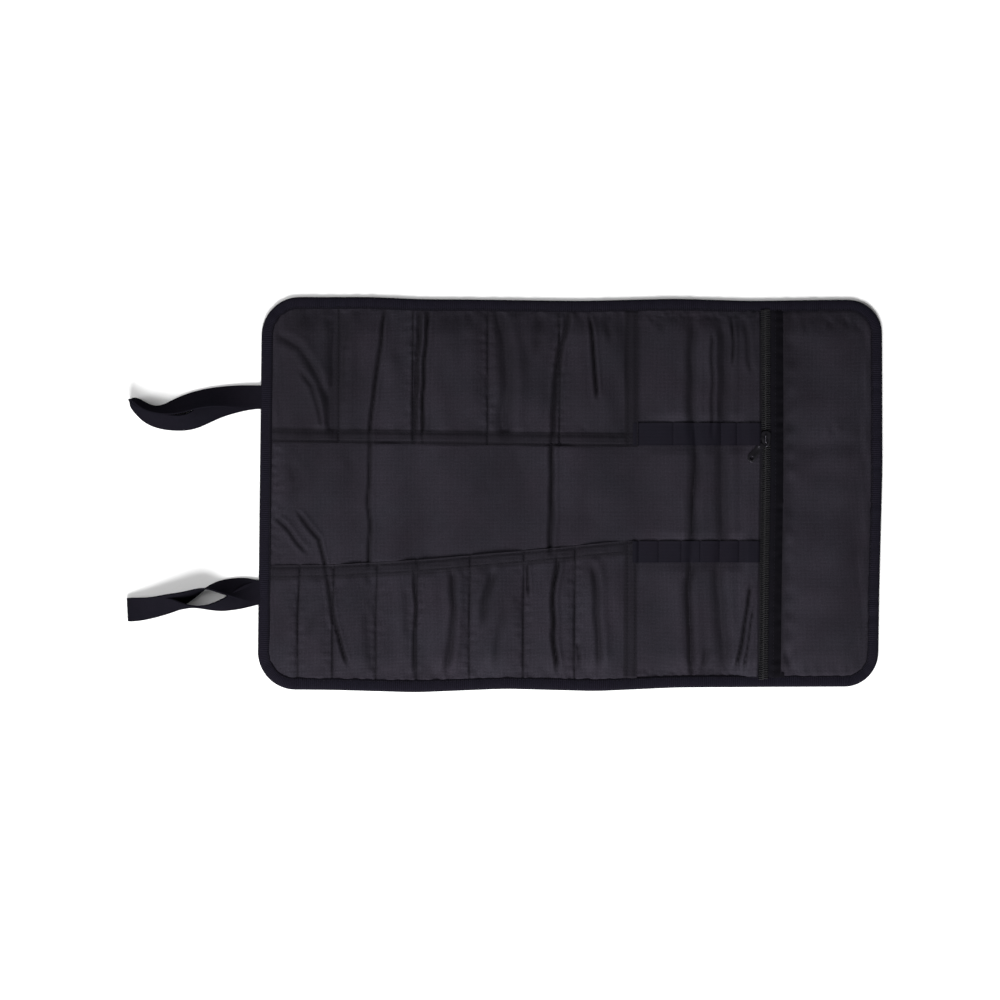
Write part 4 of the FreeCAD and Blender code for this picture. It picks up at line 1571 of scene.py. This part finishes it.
class ROLLCASE_OT_webbing(bpy.types.Operator):
    """Two loops of webbing, sewn into the binding at the left edge"""

    bl_idname = "rollcase.webbing"
    bl_label = "Webbing loops"

    def execute(self, context):
        for name, route in (("upper", UPPER_LOOP), ("lower", LOWER_LOOP)):
            loop = self.ribbon(f"{name}_loop_webbing", route)
            smooth_shaded(loop, 60.0)
            paint(loop, finish_named("loop_webbing"))
            node = f"{name}_webbing_loop"
            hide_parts(node)
            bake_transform(loop)
        return {"FINISHED"}

    def ribbon(self, name, route):
        """Webbing along a smooth line through the route's points, tilted about that line as they say."""
        knots = np.array(route, float)
        count, across = 230, 10
        t = np.linspace(0.0, len(knots) - 1.0, count)
        line = self.smooth_line(knots, t)
        tangent = np.gradient(line[:, :3], axis=0)
        tangent /= np.linalg.norm(tangent, axis=1)[:, None]
        flat = tangent.copy()
        flat[:, 2] = 0.0
        heading = self.steady_heading(flat)
        side = np.stack([heading[:, 1], -heading[:, 0], np.zeros(count)], axis=-1)
        up = np.tile((0.0, 0.0, 1.0), (count, 1))
        tilt = np.radians(line[:, 3])
        width = side * np.cos(tilt)[:, None] + up * np.sin(tilt)[:, None]
        obj, s, w = add_cloth(name, count - 1, across)
        k = np.rint(s * (count - 1)).astype(int)
        half = sizes().webbing_width / MM / 2
        spots = line[k, :3] + width[k] * ((w * 2.0 - 1.0) * half)[:, None]
        run = np.concatenate([[0.0], np.cumsum(np.linalg.norm(np.diff(line[:, :3], axis=0), axis=1))])
        spots[:, 2] = np.maximum(spots[:, 2], 0.75)
        points = np.stack([(LEFT + spots[:, 0]) * MM, spots[:, 1] * MM, spots[:, 2] * MM], axis=-1)
        set_points(obj, points)
        set_uv(obj, run[k], w * 2 * half)
        thicken(obj, sizes().webbing_ply / MM, 0.0)
        bevel = obj.modifiers.new("Soft edges", "BEVEL")
        bevel.width = 0.25 * MM
        bevel.segments = 2
        bevel.angle_limit = math.radians(60)
        return apply_modifiers(obj)

    @staticmethod
    def smooth_line(knots, t):
        """A smooth curve near the knots: cubic B-spline."""
        padded = np.vstack([2 * knots[0] - knots[1], knots, 2 * knots[-1] - knots[-2]])
        k = np.clip(np.floor(t).astype(int), 0, len(knots) - 2)
        f = (t - k)[:, None]
        a, b, c, d = (padded[k + n] for n in range(4))
        near = (1 - f) ** 3 * a + (3 * f**3 - 6 * f**2 + 4) * b
        far = (-3 * f**3 + 3 * f**2 + 3 * f + 1) * c + f**3 * d
        return (near + far) / 6

    @staticmethod
    def steady_heading(flat):
        """Heading on the plan that always points away from the case, so that the webbing doesn't flip."""
        heading = np.where(flat[:, :1] > 0, -flat, flat)
        length = np.hypot(heading[:, 0], heading[:, 1])
        weight = np.clip(length, 0.0, 1.0) ** 2
        kernel = np.hanning(31)
        summed = np.stack([np.convolve(heading[:, n] * weight, kernel, mode="same") for n in (0, 1)], axis=-1)
        summed /= np.linalg.norm(summed, axis=1)[:, None]
        return summed


class ROLLCASE_OT_stitching(bpy.types.Operator):
    """Every row of stitches, gathered into one piece for each stretch of the case"""

    bl_idname = "rollcase.stitching"
    bl_label = "Stitching"

    def execute(self, context):
        pitch = sizes().stitch_pitch / MM
        spots = []
        self.binding_seam(spots, pitch)
        rows = (
            (WIDE_MOUTH, 1, wide_height, WIDE_SEAMS),
            (NARROW_MOUTH, -1, narrow_height, NARROW_SEAMS),
        )
        for mouth, side, height, seams in rows:
            outer = inset_half(BINDING_SEAM + 2.0)
            for inset in (1.7, HEM_WIDTH - 1.7):
                u = steps((9.0, END_HEM[1] - 1.0), pitch)
                self.row(spots, u, along_line(mouth, u) + side * inset, height)
            for place_u in seams + (END_HEM[0] + 2.0, END_HEM[1] - 1.8):
                start = along_line(mouth, np.array([place_u]))[0] + side * 1.0
                v = steps(sorted((start, side * float(outer(np.array([place_u]))[0]))), pitch)
                self.row(spots, v * 0 + place_u, v, height)
        for (low, high), seams in ((UPPER_BAND, UPPER_BAND_SEAMS), (LOWER_BAND, LOWER_BAND_SEAMS)):
            for place_u in seams:
                v = steps((low + 0.6, high - 0.6), pitch * 0.8)
                self.row(spots, v * 0 + place_u, v, lambda u, w, seams=seams: band_height(u, w, seams))
        v = steps((-HALF + 10.0, HALF - 10.0), pitch)
        self.row(spots, v * 0 + TAPE_SEAM, v, ROLLCASE_OT_zip.tape_height)
        self.row(spots, v * 0 + FACING_EDGE - 1.6, v, lining_height)
        for side in (-1, 1):
            fine = steps((-HALF + 10.0, HALF - 10.0), sizes().tooth_pitch / MM)
            self.row(spots, fine * 0 + ZIP_U + side * 2.3, fine, lambda u, w: COIL_TOP - 0.06 + 0 * u, 0.95)
        table = np.array(spots)
        for index, low, high in stretches(-5.0, LENGTH + 5.0):
            along = table[:, 0]
            inside = table[(along >= low - 20 * (index == 1)) & (along < high + 20 * (index == 5))]
            self.gather(f"stitching_{index}", inside, low, high)
        return {"FINISHED"}

    @staticmethod
    def row(spots, u, v, height, share=1.0):
        """Stitches between neighbouring places of a row, each just proud of the cloth."""
        points = place(u, v, height(u, v) + 0.04)
        for k in range(len(u) - 1):
            middle = (points[k] + points[k + 1]) / 2
            step = points[k + 1] - points[k]
            spots.append(((u[k] + u[k + 1]) / 2, *middle, *(step * share)))

    @staticmethod
    def binding_seam(spots, pitch):
        u, v, nu, nv, run = ROLLCASE_OT_binding.outline(pitch)
        pull = 0.28 * PUCKER(run, run * 0)
        inset = 8.0 + pull * 0.6
        points = place(u + nu * inset, v + nv * inset, 0 * u + BINDING_TOP - 0.05)
        for k in range(len(u) - 1):
            middle = (points[k] + points[k + 1]) / 2
            spots.append(((u[k] + u[k + 1]) / 2, *middle, *(points[k + 1] - points[k])))

    def gather(self, name, table, low, high):
        """One stitch, modelled once: a short length of thread that dips into the cloth at both ends."""
        start_fresh()
        bpy.ops.mesh.primitive_cylinder_add(
            vertices=6, radius=0.26, depth=1.0, end_fill_type="NGON", rotation=(0, math.pi / 2, 0)
        )
        stitch = named("stitch")
        settle(stitch)
        take(stitch)
        bpy.ops.object.mode_set(mode="EDIT")
        for share in (-0.28, 0.28):
            bpy.ops.mesh.select_all(action="SELECT")
            bpy.ops.mesh.bisect(plane_co=(share, 0, 0), plane_no=(1, 0, 0))
        bpy.ops.object.mode_set(mode="OBJECT")
        points = points_of(stitch)
        t = np.abs(points[:, 0]) * 2.0
        points[:, 2] = points[:, 2] * (1.0 - 0.3 * t) + 0.05 - 0.42 * t**3
        points[:, 1] *= 1.0 - 0.35 * t
        set_points(stitch, points)
        random = np.random.default_rng(41)
        matrices = []
        for row in table:
            middle, step = row[1:4], row[4:7]
            length = np.linalg.norm(step)
            x = step / length
            y = np.cross((0.0, 0.0, 1.0), x)
            y /= np.linalg.norm(y)
            z = np.cross(x, y)
            slant = 0.10 * random.standard_normal() + 0.06
            x, y = x * math.cos(slant) + y * math.sin(slant), y * math.cos(slant) - x * math.sin(slant)
            matrix = np.eye(4)
            matrix[:3, 0] = x * length * 0.80
            matrix[:3, 1] = y * MM
            matrix[:3, 2] = z * MM
            matrix[:3, 3] = middle
            matrices.append(matrix)
        piece = repeat(stitch, name, matrices)
        remove(stitch)
        smooth_shaded(piece, 60.0)
        paint(piece, finish_named("sewing_thread"))
        attach(piece, low, high)


class ROLLCASE_PT_panel(bpy.types.Panel):
    """Sidebar list of the case's settings and pieces"""

    bl_label = "Roll Case"
    bl_idname = "ROLLCASE_PT_panel"
    bl_space_type = "VIEW_3D"
    bl_region_type = "UI"
    bl_category = "Roll Case"

    def draw(self, context):
        for group in (context.scene.roll_case_sizes, context.scene.roll_case_colours):
            column = self.layout.column(align=True)
            for key in group.__annotations__:
                column.prop(group, key)
        for operator in OPERATORS:
            self.layout.operator(operator.bl_idname)


OPERATORS = (
    ROLLCASE_OT_stage,
    ROLLCASE_OT_panel,
    ROLLCASE_OT_binding,
    ROLLCASE_OT_pockets,
    ROLLCASE_OT_bands,
    ROLLCASE_OT_zip,
    ROLLCASE_OT_zip_pocket,
    ROLLCASE_OT_slider,
    ROLLCASE_OT_webbing,
    ROLLCASE_OT_stitching,
)
CLASSES = (RollCaseSizes, RollCaseColours) + OPERATORS + (ROLLCASE_PT_panel,)


def register():
    for cls in CLASSES:
        bpy.utils.register_class(cls)
    bpy.types.Scene.roll_case_sizes = bpy.props.PointerProperty(type=RollCaseSizes)
    bpy.types.Scene.roll_case_colours = bpy.props.PointerProperty(type=RollCaseColours)


def unregister():
    del bpy.types.Scene.roll_case_colours
    del bpy.types.Scene.roll_case_sizes
    for cls in reversed(CLASSES):
        bpy.utils.unregister_class(cls)


def main():
    register()
    bpy.ops.rollcase.stage()
    bpy.ops.rollcase.panel()
    bpy.ops.rollcase.binding()
    bpy.ops.rollcase.pockets()
    bpy.ops.rollcase.bands()
    bpy.ops.rollcase.zip()
    bpy.ops.rollcase.zip_pocket()
    bpy.ops.rollcase.slider()
    bpy.ops.rollcase.webbing()
    bpy.ops.rollcase.stitching()


if __name__ == "__main__":
    main()
